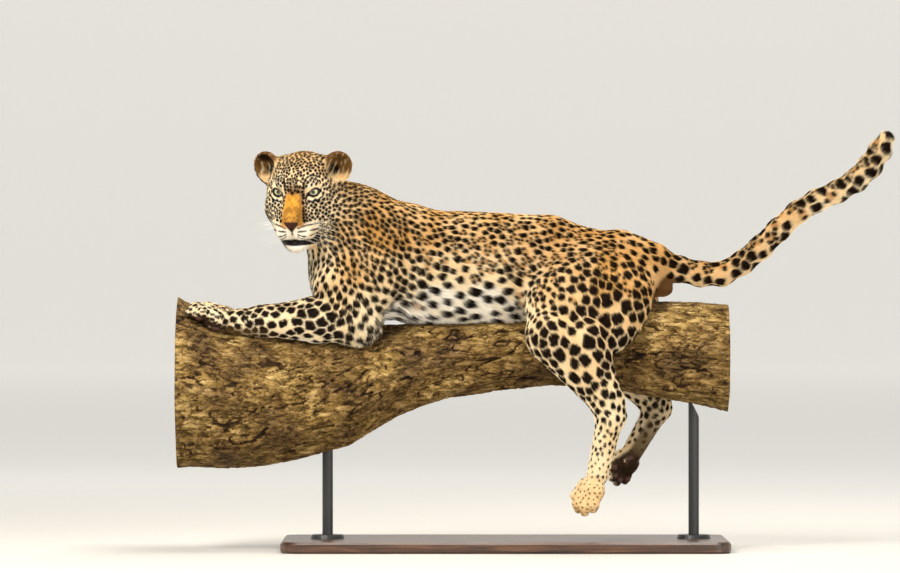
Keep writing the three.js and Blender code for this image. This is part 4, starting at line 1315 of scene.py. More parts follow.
def coat_regions(skin):
    """The name of each coat piece and which quads it covers."""
    centres = skin["points"][skin["quads"]].mean(1)
    distance = []
    for _, muscles, _, depth in GROUPS:
        best = np.full(len(centres), FAR)
        for centre, reach, _, fn in muscles:
            near = np.linalg.norm(centres - centre.astype(F32), axis=1) < reach + 60
            if near.any():
                best[near] = np.minimum(best[near], fn(centres[near]))
        distance.append(best + F32(depth))
    group = np.array([name for name, _, _, _ in GROUPS])[np.argmin(distance, 0)]
    h = HEAD.seen(centres)
    close = np.linalg.norm(h - np.array([10, 0, 0], F32), axis=1) < 150
    is_head = (group == "head") | (close & (h[:, 0] > -30))
    left = centres[:, 1] < 0
    before = centres[:, 0] < NECK_END
    body = ~is_head & (group == "torso") & ~before
    regions = {"head": is_head}
    regions["neck"] = ~is_head & ((group == "neck") | ((group == "torso") & before))
    regions["side_left"] = body & left
    regions["side_right"] = body & ~left
    for name, members in LEGS.items():
        regions[name] = ~is_head & np.isin(group, members)
    regions["tail"] = group == "tail"
    return regions


# The path along which each coat piece is unwrapped
UNWRAP = {
    "head": [HEAD.at(-150, 0, 0), HEAD.at(175, 0, -50)],
    "neck": [[-560, -40, 720], [-300, 0, 850]],
    "side_left": [[-340, 0, 740], [450, 0, 740]],
    "side_right": [[-340, 0, 740], [450, 0, 740]],
    "front_legs": [[-300, 0, 900], [-400, 0, 620], [-860, 0, 620]],
    "hind_leg_left": [[310, -60, 800], [130, -180, 560], [268, -186, 360], [230, -196, 130]],
    "hind_leg_right": [[310, 60, 800], [230, 180, 550], [405, 186, 370], [300, 172, 190]],
    "tail": [row[:3] for row in TAIL],
}


def unwrapped(points, path):
    """A place on the skin as length along a path and turn about it, both from 0 to 1."""
    path = np.array(path, F32)
    best = np.full(len(points), FAR)
    along = np.zeros(len(points), F32)
    turn = np.zeros(len(points), F32)
    start = 0.0
    for a, b in zip(path, path[1:]):
        way = b - a
        length = np.linalg.norm(way)
        f = way / length
        side = unit(np.cross([0, 1, 0.2], f)).astype(F32)
        up = np.cross(f, side)
        away = points - a
        raw = away @ f
        t = np.clip(raw, 0, length)
        d = np.linalg.norm(away - t[:, None] * f, axis=1)
        closer = d < best
        best = np.where(closer, d, best)
        along = np.where(closer, start + raw, along)
        turn = np.where(closer, np.arctan2(away @ side, away @ up), turn)
        start += length
    out = []
    for values in (along, turn):
        low, high = np.percentile(values, [0.1, 99.9])
        out.append(np.clip((values - low) / max(high - low, 1e-6), 0, 1) * 0.98 + 0.01)
    return np.stack(out, 1)


PATCH = 0.0015  # half of a tuft's patch on the unwrap
# The share of the coat's tufts that each piece gets
SHARES = {
    "head": 1.0, "neck": 0.85, "side_left": 0.95, "side_right": 0.95, "front_legs": 1.0,
    "hind_leg_left": 0.95, "hind_leg_right": 0.85, "tail": 0.7,
}


def tufts_on(skin, quads, count, draw):
    """Tuft roots spread evenly over quads, with all that the coat is there."""
    corners = skin["points"][quads]
    area = np.linalg.norm(np.cross(corners[:, 2] - corners[:, 0], corners[:, 3] - corners[:, 1]), axis=1) / 2
    length = skin["coat"][quads, LENGTH].mean(1)
    density = area / np.maximum(length, 4) ** 0.9
    total = np.cumsum(density)
    picks = (np.arange(count) + draw.random(count)) / count * total[-1]
    chosen = np.clip(np.searchsorted(total, picks), 0, len(quads) - 1)
    u = draw.random((count, 1)).astype(F32)
    v = draw.random((count, 1)).astype(F32)
    weights = np.stack([(1 - u) * (1 - v), u * (1 - v), u * v, (1 - u) * v], 1)
    index = quads[chosen]
    root = (skin["points"][index] * weights).sum(1)
    normal = unit_rows((skin["normals"][index] * weights).sum(1))
    coat = (skin["coat"][index] * weights).sum(1)
    return root, normal, coat


COLOUR_SHARES = (0.0, 0.35, 0.8)  # where along a tuft its three colours are read from the skin
MOST_BARE = 0.35  # skin barer than this carries no tufts
LEAST_CLEARANCE = 1.5  # between a tuft's root and the branch
ROOT_DEPTH = 0.8
TUFT_FACES = ((2, 1, 0), (1, 3, 0), (3, 2, 0), (2, 3, 1))


def tuft_mesh(name, skin, quads, count, width, seed):
    """One coat piece: thin closed tufts lying along the skin."""
    draw = np.random.default_rng(seed)
    root, normal, coat = tufts_on(skin, quads, count, draw)
    lie = flat_along(coat[:, :3], normal)
    sway = (Hills(31, 70)(root) * 0.16 + draw.normal(0, 0.1, len(root))).astype(F32)[:, None]
    lie = lie * np.cos(sway) + np.cross(normal, lie) * np.sin(sway)
    side = np.cross(normal, lie)
    length = (coat[:, LENGTH] * draw.uniform(0.62, 1.02, len(root)))[:, None].astype(F32)
    loft = 0.9 + 0.22 * length + 0.3 * np.maximum(length - 14, 0)  # long hair lies less flat
    rise = np.minimum(length * 0.4, loft) * draw.uniform(0.45, 1.1, length.shape).astype(F32)
    wide = (width * np.clip(length / 10, 0.42, 1.2) * draw.uniform(0.75, 1.25, length.shape)).astype(F32)
    reach = np.sqrt(length ** 2 - rise ** 2)
    colours = []
    kept = clearance(root) > LEAST_CLEARANCE
    for share in COLOUR_SHARES:
        colour, bare = pelt(root + lie * reach * share, normal, coat, skin["marks"])
        colours.append(colour)
        kept &= bare < MOST_BARE
    tip = root + lie * reach + normal * rise
    left = root - side * wide / 2 - normal * ROOT_DEPTH
    right = root + side * wide / 2 - normal * ROOT_DEPTH
    ridge = root + lie * length * 0.3 + normal * (rise * 0.42 + wide * 0.22)
    points = np.stack([left, right, ridge, tip], 1)[kept].reshape(-1, 3)
    first = np.arange(kept.sum())[:, None, None] * 4
    faces = (first + np.array(TUFT_FACES)[None]).reshape(-1, 3)
    shade = np.clip(draw.normal(1.0, 0.09, (len(root), 1)), 0.7, 1.3).astype(F32)
    at_root, at_ridge, at_tip = (colour * shade for colour in colours)
    # Each tuft's root is darkened to 0.8 as painted shade down among the hairs, and its tip is lifted by 1.06
    # as painted light.
    colours = np.stack([at_root * 0.8, at_root * 0.8, at_ridge, at_tip * 1.06], 1)[kept].reshape(-1, 3)
    place = unwrapped(root[kept], UNWRAP[name])[:, None, :]
    patch = np.array([[-PATCH, -PATCH], [PATCH, -PATCH], [0, 0], [0, PATCH]])[None]
    uv = (place + patch).reshape(-1, 2)
    return make_mesh(f"coat_{name}", points, faces, colours, smooth=False, uv=uv)


# The branch from end to end: place along it, centre height, half height and half width
PERCH = np.array([
    [-866, 442, 226, 190], [-800, 425, 208, 188], [-740, 408, 190, 184], [-640, 408, 180, 178],
    [-543, 411, 167, 167], [-411, 430, 153, 150], [-345, 456, 138, 138], [-278, 476, 120, 122],
    [-146, 506, 100, 102], [-13, 520, 90, 94], [119, 530, 90, 94], [252, 538, 108, 108],
    [384, 532, 126, 126], [516, 522, 136, 136], [590, 511, 141, 141],
], float)


def perch_section(x, angle):
    """Centre height, half height and half width of the branch, with the bark's main ridges."""
    centre, high, wide = (np.interp(x, PERCH[:, 0], PERCH[:, i]) for i in (1, 2, 3))
    low = 0.5 - 0.5 * np.sin(angle)
    ridges = (2 + 4 * low) * np.sin(7 * angle + x / 90) + 3 * low * np.sin(3 * angle - x / 130)
    return centre, high + ridges, wide + ridges


def clearance(points):
    """How far the skin's points lie outside the branch, in millimetres."""
    x = points[:, 0]
    centre = np.interp(x, PERCH[:, 0], PERCH[:, 1])
    angle = np.arctan2(points[:, 2] - centre, points[:, 1])
    middle, high, wide = perch_section(x, angle)
    u = points[:, 1] / wide
    v = (points[:, 2] - middle) / high
    k0 = np.hypot(u, v)
    between_ends = (x > PERCH[0, 0]) & (x < PERCH[-1, 0])
    return np.where(between_ends, (k0 - 1) * np.minimum(high, wide), FAR)


class LEOPARD_OT_skin(bpy.types.Operator):
    """Builds the one skin that stands for every piece of flesh"""
    bl_idname = "leopard.skin"
    bl_label = "Skin"

    def execute(self, context):
        skin = leopard_skin()
        colour, bare = pelt(skin["points"], skin["normals"], skin["coat"], skin["marks"])
        piece = make_mesh("skin", skin["points"], skin["quads"], colour, leather=bare)
        add_piece(piece, skin_material(), FLESH_NODES)
        return {"FINISHED"}


class LEOPARD_OT_coat(bpy.types.Operator):
    """Covers the skin with short tufts, one piece for each part of the body"""
    bl_idname = "leopard.coat"
    bl_label = "Coat"

    def execute(self, context):
        body = context.scene.leopard_body
        skin = leopard_skin()
        material = coat_material()
        for seed, (name, mask) in enumerate(coat_regions(skin).items()):
            count = int(body.tufts * SHARES[name]) // 1
            width = body.hair_width / MM
            piece = tuft_mesh(name, skin, skin["quads"][mask], count, width, 100 + seed)
            add_piece(piece, material)
        return {"FINISHED"}


def eye_mesh(s):
    """An eyeball with its clear bulge, and how far from the middle of the gaze each point lies."""
    way = gaze(s, 0.12, 0.1)
    rings, sides = 48, 64
    points = [way.at(EYE_RADIUS + EYE_BULGE, 0, 0)]
    turn = [0.0]
    for i in range(1, rings):
        angle = math.pi * i / rings
        bulge = EYE_BULGE * float(ease(math.degrees(angle), 44, 18))
        for j in range(sides):
            around = 2 * math.pi * j / sides
            r = EYE_RADIUS + bulge
            points.append(way.at(r * math.cos(angle), r * math.sin(angle) * math.cos(around),
                                 r * math.sin(angle) * math.sin(around)))
            turn.append(math.degrees(angle))
    points.append(way.at(-EYE_RADIUS, 0, 0))
    turn.append(180.0)
    faces = []
    for j in range(sides):
        k = (j + 1) % sides
        faces.append((0, 1 + j, 1 + k, 1 + k))
        for i in range(rings - 2):
            a = 1 + i * sides
            b = a + sides
            faces.append((a + j, b + j, b + k, a + k))
        last = 1 + (rings - 2) * sides
        faces.append((last + k, last + j, len(points) - 1, len(points) - 1))
    return np.array(points), faces, np.array(turn)


def mixed_mesh(name, points, faces, **values):
    """A smooth mesh whose faces may mix three and four corners."""
    mesh = bpy.data.meshes.new(name)
    clean = [tuple(dict.fromkeys(face)) for face in faces]
    mesh.from_pydata([tuple(p) for p in np.asarray(points) * MM], [], clean)
    add_values(mesh, values)
    mesh.shade_smooth()
    return linked(name, mesh)


def eye_material():
    """Glass eye as a taxidermist sets it: an uneven pale iris under a clear, wet-looking front."""
    material, tree = new_material("Eye, glass over a painted iris")
    turn = add_node(tree, "ShaderNodeAttribute", attribute_name="turn")
    place = add_node(tree, "ShaderNodeTexCoord").outputs["Object"]
    streaks = add_node(tree, "ShaderNodeTexNoise", {"Vector": place, "Scale": per_metre(1.6), "Detail": 4.0})
    share = add_node(tree, "ShaderNodeMapRange", {"Value": turn.outputs["Fac"], "From Max": 90.0})
    uneven = add_node(tree, "ShaderNodeMapRange", {
        "Value": streaks.outputs[0], "To Min": -0.02, "To Max": 0.02})
    shifted = add_node(tree, "ShaderNodeMath", {0: share.outputs[0], 1: uneven.outputs[0]}, operation="ADD")
    colours = ramp(tree, shifted.outputs[0], [
        (0.0, "#050505"), (0.12, "#050505"), (0.15, "#605e38"), (0.22, "#c4c096"), (0.36, "#d6d3b2"),
        (0.47, "#858150"), (0.53, "#15120c"), (0.6, "#4a4036"), (1.0, "#6a5c50")])
    shader = add_node(tree, "ShaderNodeBsdfPrincipled", {
        "Base Color": colours.outputs[0], "Roughness": 0.25, "IOR": 1.4, "Coat Weight": 1.0,
        "Coat Roughness": 0.03})
    finish_material(tree, shader)
    return material


class LEOPARD_OT_eyes(bpy.types.Operator):
    """Sets both eyes behind their lids"""
    bl_idname = "leopard.eyes"
    bl_label = "Eyes"

    def execute(self, context):
        material = eye_material()
        for s, side in ((-1, "left"), (1, "right")):
            points, faces, turn = eye_mesh(s)
            piece = mixed_mesh(f"eyeball_{side}", points, faces, turn=turn)
            add_piece(piece, material, [f"eye_{side}"])
        return {"FINISHED"}


WHISKER_RADIUS = 0.3


def hair_tube(path, radius):
    """A hair along a path, three-sided, thinning to its tip."""
    path = np.asarray(path, float)
    points, faces = [], []
    for i, p in enumerate(path[:-1]):
        way = unit(path[i + 1] - p)
        side = unit(np.cross(way, [0.1, 0.2, 1]))
        up = np.cross(way, side)
        r = radius * (1 - i / (len(path) - 1)) ** 0.7
        for j in range(3):
            angle = 2 * math.pi * j / 3
            points.append(p + r * (side * math.cos(angle) + up * math.sin(angle)))
    points.append(path[-1])
    rings = len(path) - 1
    faces.append((2, 1, 0))
    for i in range(rings - 1):
        for j in range(3):
            k = (j + 1) % 3
            faces.append((3 * i + j, 3 * i + k, 3 * i + 3 + k, 3 * i + 3 + j))
    last = 3 * (rings - 1)
    for j in range(3):
        faces.append((last + j, last + (j + 1) % 3, len(points) - 1))
    return points, faces


def bent(root, way, sag, count):
    """A path of count points from root along way, which sags more and more."""
    return [root + way * q + sag * q * q for q in np.linspace(0, 1, count)]


def whisker_paths(length, per_row):
    """Whiskers in rows on both pads, and a few over each eye."""
    draw = np.random.default_rng(5)
    paths = []
    for s in (-1, 1):
        for row in range(5):
            for i in range(per_row):
                t = 0.3 + 0.6 * i / per_row
                x = 150 - 48 * t
                y = s * (17 + 28 * t)
                z = -72 - 7 * row + 4 * t
                root = drawn([HEAD.at(x, y, z)], bare_skin, 4, 20)[0].astype(float)
                way = unit(HEAD.l * s + HEAD.f * (0.25 - 0.5 * t) + HEAD.u * (0.05 - 0.1 * row)
                           + draw.normal(0, 0.07, 3))
                sag = -HEAD.u * draw.uniform(0.2, 0.5) - HEAD.f * draw.uniform(0.2, 0.5)
                reach = length * (0.55 + 0.5 * t) * draw.uniform(0.75, 1.05)
                paths.append(bent(root, way * reach, sag * reach * 0.5, 9))
        for i in range(5):
            root = drawn([HEAD.at(70, s * (34 + 4 * i), 24)], bare_skin, 4, 20)[0].astype(float)
            way = unit(HEAD.u + HEAD.l * s * (0.2 + 0.12 * i) + HEAD.f * 0.5)
            reach = length * 0.4 * draw.uniform(0.7, 1.1)
            paths.append(bent(root, way * reach, HEAD.u * -0.15 * reach, 7))
    return paths


def plain_material(name, colour, roughness, grain_mm, strength):
    """A material with one ground colour, mottled and roughened at the size of its grain."""
    material, tree = new_material(name)
    place = add_node(tree, "ShaderNodeTexCoord").outputs["Object"]
    grain = add_node(tree, "ShaderNodeTexNoise", {
        "Vector": place, "Scale": per_metre(grain_mm), "Detail": 4.0})
    shade = add_node(tree, "ShaderNodeMapRange", {"Value": grain.outputs[0], "To Min": 0.75, "To Max": 1.2})
    tint = add_node(tree, "ShaderNodeHueSaturation", {
        "Value": shade.outputs[0], "Color": (*linear(colour), 1)})
    rough = add_node(tree, "ShaderNodeMapRange", {
        "Value": grain.outputs[0], "To Min": roughness - 0.06, "To Max": roughness + 0.08})
    bump = add_node(tree, "ShaderNodeBump", {
        "Height": grain.outputs[0], "Strength": strength, "Distance": 0.0008})
    shader = add_node(tree, "ShaderNodeBsdfPrincipled", {
        "Base Color": tint.outputs[0], "Roughness": rough.outputs[0], "Normal": bump.outputs[0]})
    finish_material(tree, shader)
    return material


class LEOPARD_OT_whiskers(bpy.types.Operator):
    """Roots the whiskers in their rows on the muzzle and over the eyes"""
    bl_idname = "leopard.whiskers"
    bl_label = "Whiskers"

    def execute(self, context):
        body = context.scene.leopard_body
        points, faces = [], []
        for path in whisker_paths(body.whisker_length / MM, body.whisker_count):
            more, ends = hair_tube(path, WHISKER_RADIUS)
            faces += [tuple(i + len(points) for i in face) for face in ends]
            points += more
        material = plain_material("Whisker, stiff and clear", "#f4efe4", 0.35, 8, 0.05)
        add_piece(mixed_mesh("whiskers", points, faces), material)
        return {"FINISHED"}


PAD_STEP = 2.4  # between the grid lines of a pad


def small_net(muscles, step, margin=4):
    """A small body from muscles, as its own closed mesh."""
    low = np.min([c - r for c, r, _, _ in muscles], 0) - margin
    high = np.max([c + r for c, r, _, _ in muscles], 0) + margin

    def fn(points):
        total = None
        for _, _, k, distance in muscles:
            d = distance(points)
            total = d if total is None else melt(total, d, k)
        return total
    grid = [ticks(low[a], [[high[a], step]]) for a in range(3)]
    grid, value = field_on_grid(grid, fn)
    points, quads = net(grid, value)
    return drawn(points, fn, 2, step), quads


def pad_muscles(p, w):
    """The soft pads under one paw: a three-lobed main pad and one under each toe."""
    main = [pod(p.at(-20 * w, y * w, -18 * w), p.at(14 * w, 0.5 * y * w, -21 * w), 12 * w, 8 * w, p.l, 8)
            for y in (-16, 0, 16)]
    toes = [[pod(p.at((x - 6) * w, y * w, -9 * w), p.at((x + 13) * w, y * w, -11 * w), 9 * w, 8 * w, p.l, 2)]
            for y, x, _ in TOES]
    return [main, *toes]


class LEOPARD_OT_feet(bpy.types.Operator):
    """Adds the pads under the paws"""
    bl_idname = "leopard.feet"
    bl_label = "Pads"

    def execute(self, context):
        for name, (p, w) in PAWS.items():
            points, quads = [], []
            for muscles in pad_muscles(p, w):
                more, ends = small_net(muscles, PAD_STEP)
                quads.append(ends + sum(len(q) for q in points))
                points.append(more)
            piece = make_mesh(f"pads_{name}", np.concatenate(points), np.concatenate(quads))
            add_piece(piece, pad_material())
        return {"FINISHED"}


@functools.lru_cache(None)
def pad_material():
    """Callused pad: dark, dry, finely pebbled leather."""
    return plain_material("Paw pad, callused leather", "#4a2a1d", 0.6, 1.6, 0.6)


class LEOPARD_OT_perch(bpy.types.Operator):
    """Grows the bark over the cut length of branch"""
    bl_idname = "leopard.perch"
    bl_label = "Perch"

    def execute(self, context):
        points, quads, crack, ring, cut = perch_mesh()
        piece = make_mesh("perch_bark", points, quads, crack=crack, ring=ring, cut=cut)
        add_piece(piece, bark_material(), ["perch"])
        return {"FINISHED"}


BARK_RINGS = 360
BARK_SIDES = 240
CUT_SHARES = (0.94, 0.8, 0.6, 0.4, 0.2, 0.06, 0.0)  # how far out the loops of a sawn end lie


def perch_mesh():
    """The branch as one closed tube with cracked bark and sawn ends.

    With it go each point's depth in a crack, how far out it is on a sawn end, and whether it is on one.
    """
    rings, sides = BARK_RINGS, BARK_SIDES
    x = np.linspace(PERCH[0, 0], PERCH[-1, 0], rings)
    angle = np.linspace(0, 2 * math.pi, sides, endpoint=False)
    gx, ga = (g.ravel() for g in np.meshgrid(x, angle, indexing="ij"))
    centre, high, wide = perch_section(gx, ga)
    base = np.stack([gx * 0.4, wide * np.cos(ga), high * np.sin(ga)], 1).astype(F32)
    wander = np.stack([Hills(51, 40)(base), Hills(52, 30)(base), Hills(53, 30)(base)], 1) * 5
    crack = ease(np.abs(Hills(54, 60)(base + wander)), 0.16, 0.02) * ease(Hills(57, 50)(base), -0.7, 0.1)
    fine = ease(np.abs(Hills(55, 24)(base + wander)), 0.30, 0.05) * ease(Hills(58, 40)(base), -0.5, 0.5)
    depth = 7.0 * crack + 3.5 * fine + 0.8 * (Hills(56, 90)(base) + 1) + 0.8 * Hills(59, 12)(base)
    points = [np.stack([gx, (wide - depth) * np.cos(ga), centre + (high - depth) * np.sin(ga)], 1)]
    split = [np.maximum(crack, fine * 0.6)]
    ring_share = [np.ones(rings * sides)]
    number = np.arange(rings * sides).reshape(rings, sides)
    after = np.roll(number, -1, 1)
    faces = [np.stack([number[:-1], after[:-1], after[1:], number[1:]], -1).reshape(-1, 4)]
    total = rings * sides
    for end, edge in ((0, number[0]), (-1, number[-1])):
        ring = edge
        middle = np.array([x[end], 0, np.interp(x[end], PERCH[:, 0], PERCH[:, 1])])
        for share in CUT_SHARES:
            inner = middle + (points[0][edge] - middle) * share
            inner[:, 0] = x[end]
            points.append(inner)
            split.append(np.zeros(sides))
            ring_share.append(np.full(sides, share))
            new = np.arange(total, total + sides)
            total += sides
            quad = np.stack([ring, new, np.roll(new, -1), np.roll(ring, -1)], 1)
            faces.append(quad if end == 0 else quad[:, ::-1])
            ring = new
    ring_share = np.concatenate(ring_share)
    faces = np.concatenate(faces)[:, ::-1]
    return np.concatenate(points), faces, np.concatenate(split), ring_share, ring_share < 1


RINGS = 8.0  # how close the rings of a sawn end lie


def bark_material():
    """Old bark: tan plates with dark seams, browner in patches. Sawn ends show pale rings."""
    material, tree = new_material("Bark, weathered and cracked, ends sawn")
    place = add_node(tree, "ShaderNodeTexCoord").outputs["Object"]
    crack = add_node(tree, "ShaderNodeAttribute", attribute_name="crack")
    stretched = add_node(tree, "ShaderNodeMapping", {"Vector": place, "Scale": (0.4, 1.0, 1.0)})
    wander = add_node(tree, "ShaderNodeTexNoise", {
        "Vector": place, "Scale": per_metre(110), "Detail": 4.0})
    grain = add_node(tree, "ShaderNodeTexNoise", {
        "Vector": stretched.outputs[0], "Scale": per_metre(14), "Detail": 9.0, "Roughness": 0.7,
        "Distortion": 0.3})
    bent = add_node(tree, "ShaderNodeVectorMath", {
        0: grain.outputs[1], 1: (0.05, 0.05, 0.05), 2: stretched.outputs[0]}, operation="MULTIPLY_ADD")
    plates = add_node(tree, "ShaderNodeTexVoronoi", {
        "Vector": bent.outputs[0], "Scale": per_metre(21), "Randomness": 1.0}, feature="DISTANCE_TO_EDGE")
    colours = ramp(tree, grain.outputs[0], [
        (0.33, "#48361e"), (0.42, "#86703f"), (0.50, "#b39a66"), (0.58, "#d3ba86"), (0.68, "#f2e0b4")])
    patches = ramp(tree, wander.outputs[0], [(0.36, "#6b5234"), (0.52, "#a8946f"), (0.62, "#ddd0b2")])
    split = ramp(tree, crack.outputs["Fac"], [(0.15, "#ffffff"), (0.6, "#6a5036"), (1.0, "#24190f")])
    seams = ramp(tree, plates.outputs["Distance"], [(0.0, "#241808"), (0.04, "#6f5834"), (0.12, "#ffffff")])
    mixed = mixed_colour(tree, 0.85, colours.outputs[0], patches.outputs[0], "MULTIPLY")
    cracked = mixed_colour(tree, 0.9, mixed, split.outputs[0], "MULTIPLY")
    seamed = mixed_colour(tree, 0.75, cracked, seams.outputs[0], "MULTIPLY")
    out = add_node(tree, "ShaderNodeAttribute", attribute_name="ring")
    across = add_node(tree, "ShaderNodeCombineXYZ", {"X": out.outputs["Fac"]})
    rings = add_node(tree, "ShaderNodeTexWave", {
        "Vector": across.outputs[0], "Scale": RINGS, "Distortion": 2.0, "Detail": 3.0})
    end_grain = ramp(tree, rings.outputs["Fac"], [(0.0, "#8a6238"), (0.5, "#bd9560"), (1.0, "#d2ae7a")])
    cut = add_node(tree, "ShaderNodeAttribute", attribute_name="cut")
    whole = mixed_colour(tree, cut.outputs["Fac"], seamed, end_grain.outputs[0], "MIX")
    bump = add_node(tree, "ShaderNodeBump", {"Height": grain.outputs[0], "Strength": 0.9, "Distance": 0.004})
    shader = add_node(tree, "ShaderNodeBsdfPrincipled", {
        "Base Color": whole, "Roughness": 0.9, "Normal": bump.outputs[0],
        "Specular IOR Level": 0.2})
    finish_material(tree, shader)
    return material


def wood_material():
    """Walnut board: dark, straight-grained, satin-varnished."""
    material, tree = new_material("Walnut, satin varnish")
    place = add_node(tree, "ShaderNodeTexCoord").outputs["Object"]
    along = add_node(tree, "ShaderNodeMapping", {"Vector": place, "Scale": (0.06, 1.0, 1.0)})
    grain = add_node(tree, "ShaderNodeTexNoise", {
        "Vector": along.outputs[0], "Scale": per_metre(9), "Detail": 6.0, "Distortion": 0.6})
    colours = ramp(tree, grain.outputs[0], [(0.3, "#2b1a10"), (0.5, "#4b3020"), (0.7, "#6b4830")])
    bump = add_node(tree, "ShaderNodeBump", {
        "Height": grain.outputs[0], "Strength": 0.15, "Distance": 0.0005})
    shader = add_node(tree, "ShaderNodeBsdfPrincipled", {
        "Base Color": colours.outputs[0], "Roughness": 0.38, "Normal": bump.outputs[0], "Coat Weight": 0.3,
        "Coat Roughness": 0.2})
    finish_material(tree, shader)
    return material


class LEOPARD_OT_stand(bpy.types.Operator):
    """Finishes the board, rods and flanges of the stand"""
    bl_idname = "leopard.stand"
    bl_label = "Stand"

    def execute(self, context):
        wood = wood_material()
        steel = plain_material("Steel, powder-coated black", "#2a2b2d", 0.42, 2.5, 0.12)
        for name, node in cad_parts.items():
            if name.startswith("stand_"):
                material = wood if name == "stand_base" else steel
                node.data.materials.clear()
                node.data.materials.append(material)
        return {"FINISHED"}


class LEOPARD_OT_stage(bpy.types.Operator):
    """Sets up the floor, the lights and the camera at the photograph's angle"""
    bl_idname = "leopard.stage"
    bl_label = "Stage"

    def execute(self, context):
        settings = context.scene.leopard_stage
        build_floor(settings.floor)
        build_lights(settings.light)
        build_camera(settings.distance)
        return {"FINISHED"}


PIXEL = 2.65  # the size of the photograph's pixel at the animal
PHOTO_WIDTH = 900
PHOTO_MIDDLE = (450, 286.5)
ORIGIN_PIXEL = (505, 549.7)  # where the base's underside is in the photograph's frame
SENSOR = 36
SIGHT = 100  # metres that the camera can see


def build_camera(distance):
    """A level camera with a long lens, at the photograph's angle and scale."""
    data = bpy.data.cameras.new("Camera")
    camera = bpy.data.objects.new("Camera", data)
    bpy.context.scene.collection.objects.link(camera)
    width = PHOTO_WIDTH * PIXEL * MM
    data.sensor_width = SENSOR
    data.lens = SENSOR * distance / width
    data.clip_end = SIGHT
    x = (PHOTO_MIDDLE[0] - ORIGIN_PIXEL[0]) * PIXEL * MM
    z = (ORIGIN_PIXEL[1] - PHOTO_MIDDLE[1]) * PIXEL * MM
    camera.location = (x, -distance, z)
    camera.rotation_euler = (math.pi / 2, 0, 0)
    bpy.context.scene.camera = camera


FLOOR_REACH = 30.0  # metres, beyond the camera at every viewing angle
FLOOR_BEND = 6.0
WALL_TOP = 20.0
FLOOR_SIDES = 96
BACKDROP_GLOW = 0.7  # light on the far floor and the backdrop's wall, which the lamps don't reach
LIT_REACH = (1.0, 6.0)  # metres from the stand, where that light starts and where it is full


def floor_mesh():
    """A round floor whose rim sweeps up into a wall on every side."""
    profile = [(FLOOR_REACH * t, 0.0) for t in np.linspace(0.02, 1, 8)]
    profile += [(FLOOR_REACH + FLOOR_BEND * math.sin(a), FLOOR_BEND - FLOOR_BEND * math.cos(a))
                for a in np.linspace(0, math.pi / 2, 16)[1:]]
    profile.append((FLOOR_REACH + FLOOR_BEND, WALL_TOP))
    sides = FLOOR_SIDES
    points = [(0, 0, 0)]
    for r, z in profile:
        points += [(r * math.cos(a) / MM, r * math.sin(a) / MM, z / MM)
                   for a in np.linspace(0, 2 * math.pi, sides, endpoint=False)]
    faces = [(0, 1 + j, 1 + (j + 1) % sides) for j in range(sides)]
    for i in range(len(profile) - 1):
        for j in range(sides):
            a = 1 + i * sides + j
            b = 1 + i * sides + (j + 1) % sides
            faces.append((a, a + sides, b + sides, b))
    return mixed_mesh("floor", points, faces)


def backdrop_material(colour):
    """Pale matt paper, which glows a little where the lamps don't reach."""
    material, tree = new_material("Paper backdrop, matt")
    place = add_node(tree, "ShaderNodeTexCoord").outputs["Object"]
    grain = add_node(tree, "ShaderNodeTexNoise", {"Vector": place, "Scale": per_metre(3), "Detail": 3.0})
    bump = add_node(tree, "ShaderNodeBump", {
        "Height": grain.outputs[0], "Strength": 0.05, "Distance": 0.0005})
    away = add_node(tree, "ShaderNodeVectorMath", {0: place}, operation="LENGTH")
    glow = add_node(tree, "ShaderNodeMapRange", {
        "Value": away.outputs["Value"], "From Min": LIT_REACH[0], "From Max": LIT_REACH[1], "To Min": 0.0,
        "To Max": BACKDROP_GLOW}, interpolation_type="SMOOTHSTEP")
    shader = add_node(tree, "ShaderNodeBsdfPrincipled", {
        "Base Color": (*colour, 1), "Roughness": 0.9, "Normal": bump.outputs[0], "Specular IOR Level": 0.2,
        "Emission Color": (*colour, 1), "Emission Strength": glow.outputs[0]})
    finish_material(tree, shader)
    return material


def build_floor(colour):
    """The floor and backdrop around the stand."""
    floor = floor_mesh()
    floor.data.materials.append(backdrop_material(colour))


# Each lamp: its name, place, aim, size, share of the power, and colour
LAMPS = (
    ("key", (-2.4, -3.4, 3.8), (0, 0, 0.7), 2.2, 0.50, "#fffaf0"),
    ("fill", (3.0, -4.2, 0.9), (0, 0, 0.6), 3.0, 0.2, "#fff8ee"),
    ("rim", (1.2, 2.6, 3.4), (0, 0, 0.8), 2.2, 0.14, "#fffaf2"),
    ("top", (0.4, -0.4, 4.2), (0, 0, 0.6), 2.4, 0.26, "#fffaf2"),
)
ROOM_COLOUR = "#eef1f4"
ROOM_LIGHT = 0.2


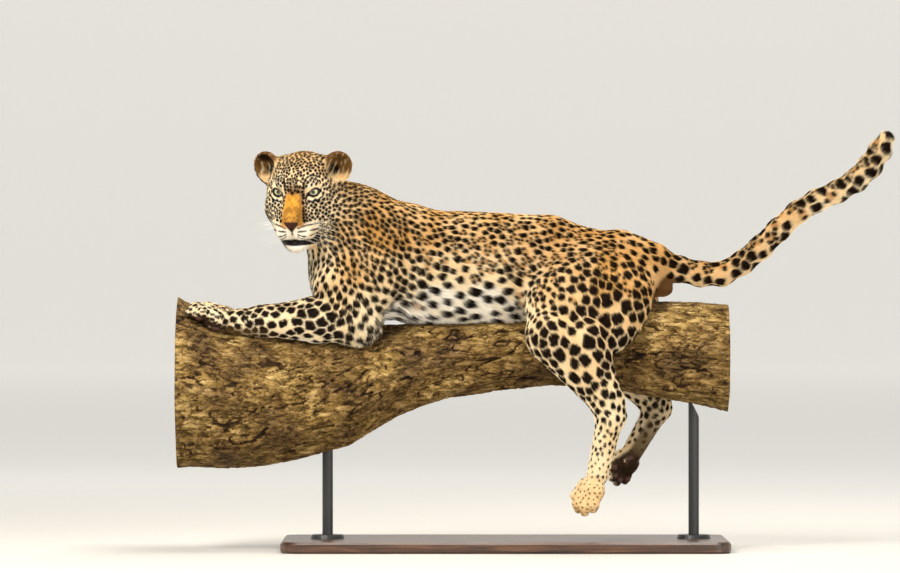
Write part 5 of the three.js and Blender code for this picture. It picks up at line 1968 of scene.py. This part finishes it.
def build_lights(power):
    """Soft studio light: a large key from the upper left, a fill, a light behind and one above."""
    for name, at, aim, size, share, colour in LAMPS:
        data = bpy.data.lights.new(name, "AREA")
        data.energy = power * share
        data.size = size
        data.color = linear(colour)
        light = bpy.data.objects.new(name, data)
        light.location = at
        way = vec(*aim) - vec(*at)
        light.rotation_euler = Vector(way).to_track_quat("-Z", "Y").to_euler()
        bpy.context.scene.collection.objects.link(light)
    world = bpy.data.worlds.new("Studio")
    world.use_nodes = True
    background = world.node_tree.nodes["Background"]
    background.inputs["Color"].default_value = (*linear(ROOM_COLOUR), 1)
    background.inputs["Strength"].default_value = ROOM_LIGHT
    bpy.context.scene.world = world
    # Colours come out as saturated as they are set above, like the photograph's
    bpy.context.scene.view_settings.view_transform = "Standard"


OPERATORS = (
    LEOPARD_OT_skin, LEOPARD_OT_coat, LEOPARD_OT_eyes, LEOPARD_OT_whiskers, LEOPARD_OT_feet,
    LEOPARD_OT_perch, LEOPARD_OT_stand, LEOPARD_OT_stage,
)


class LEOPARD_PT_panel(bpy.types.Panel):
    """Lists the pieces in the order in which they are built"""
    bl_idname = "LEOPARD_PT_panel"
    bl_label = "Leopard"
    bl_space_type = "VIEW_3D"
    bl_region_type = "UI"
    bl_category = "Leopard"

    def draw(self, context):
        layout = self.layout
        for settings in (context.scene.leopard_body, context.scene.leopard_stage):
            for name in settings.bl_rna.properties.keys():
                if name not in ("rna_type", "name"):
                    layout.prop(settings, name)
        for operator in OPERATORS:
            layout.operator(operator.bl_idname)


CLASSES = (BodySettings, StageSettings, *OPERATORS, LEOPARD_PT_panel)


def register():
    """Adds the settings, operators and panel to Blender."""
    for cls in CLASSES:
        bpy.utils.register_class(cls)
    bpy.types.Scene.leopard_body = bpy.props.PointerProperty(type=BodySettings)
    bpy.types.Scene.leopard_stage = bpy.props.PointerProperty(type=StageSettings)


def unregister():
    del bpy.types.Scene.leopard_stage
    del bpy.types.Scene.leopard_body
    for cls in reversed(CLASSES):
        bpy.utils.unregister_class(cls)


def main():
    """Builds everything in order."""
    register()
    for operator in OPERATORS:
        group, name = operator.bl_idname.split(".")
        getattr(getattr(bpy.ops, group), name)()
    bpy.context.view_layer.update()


if __name__ == "__main__":
    main()
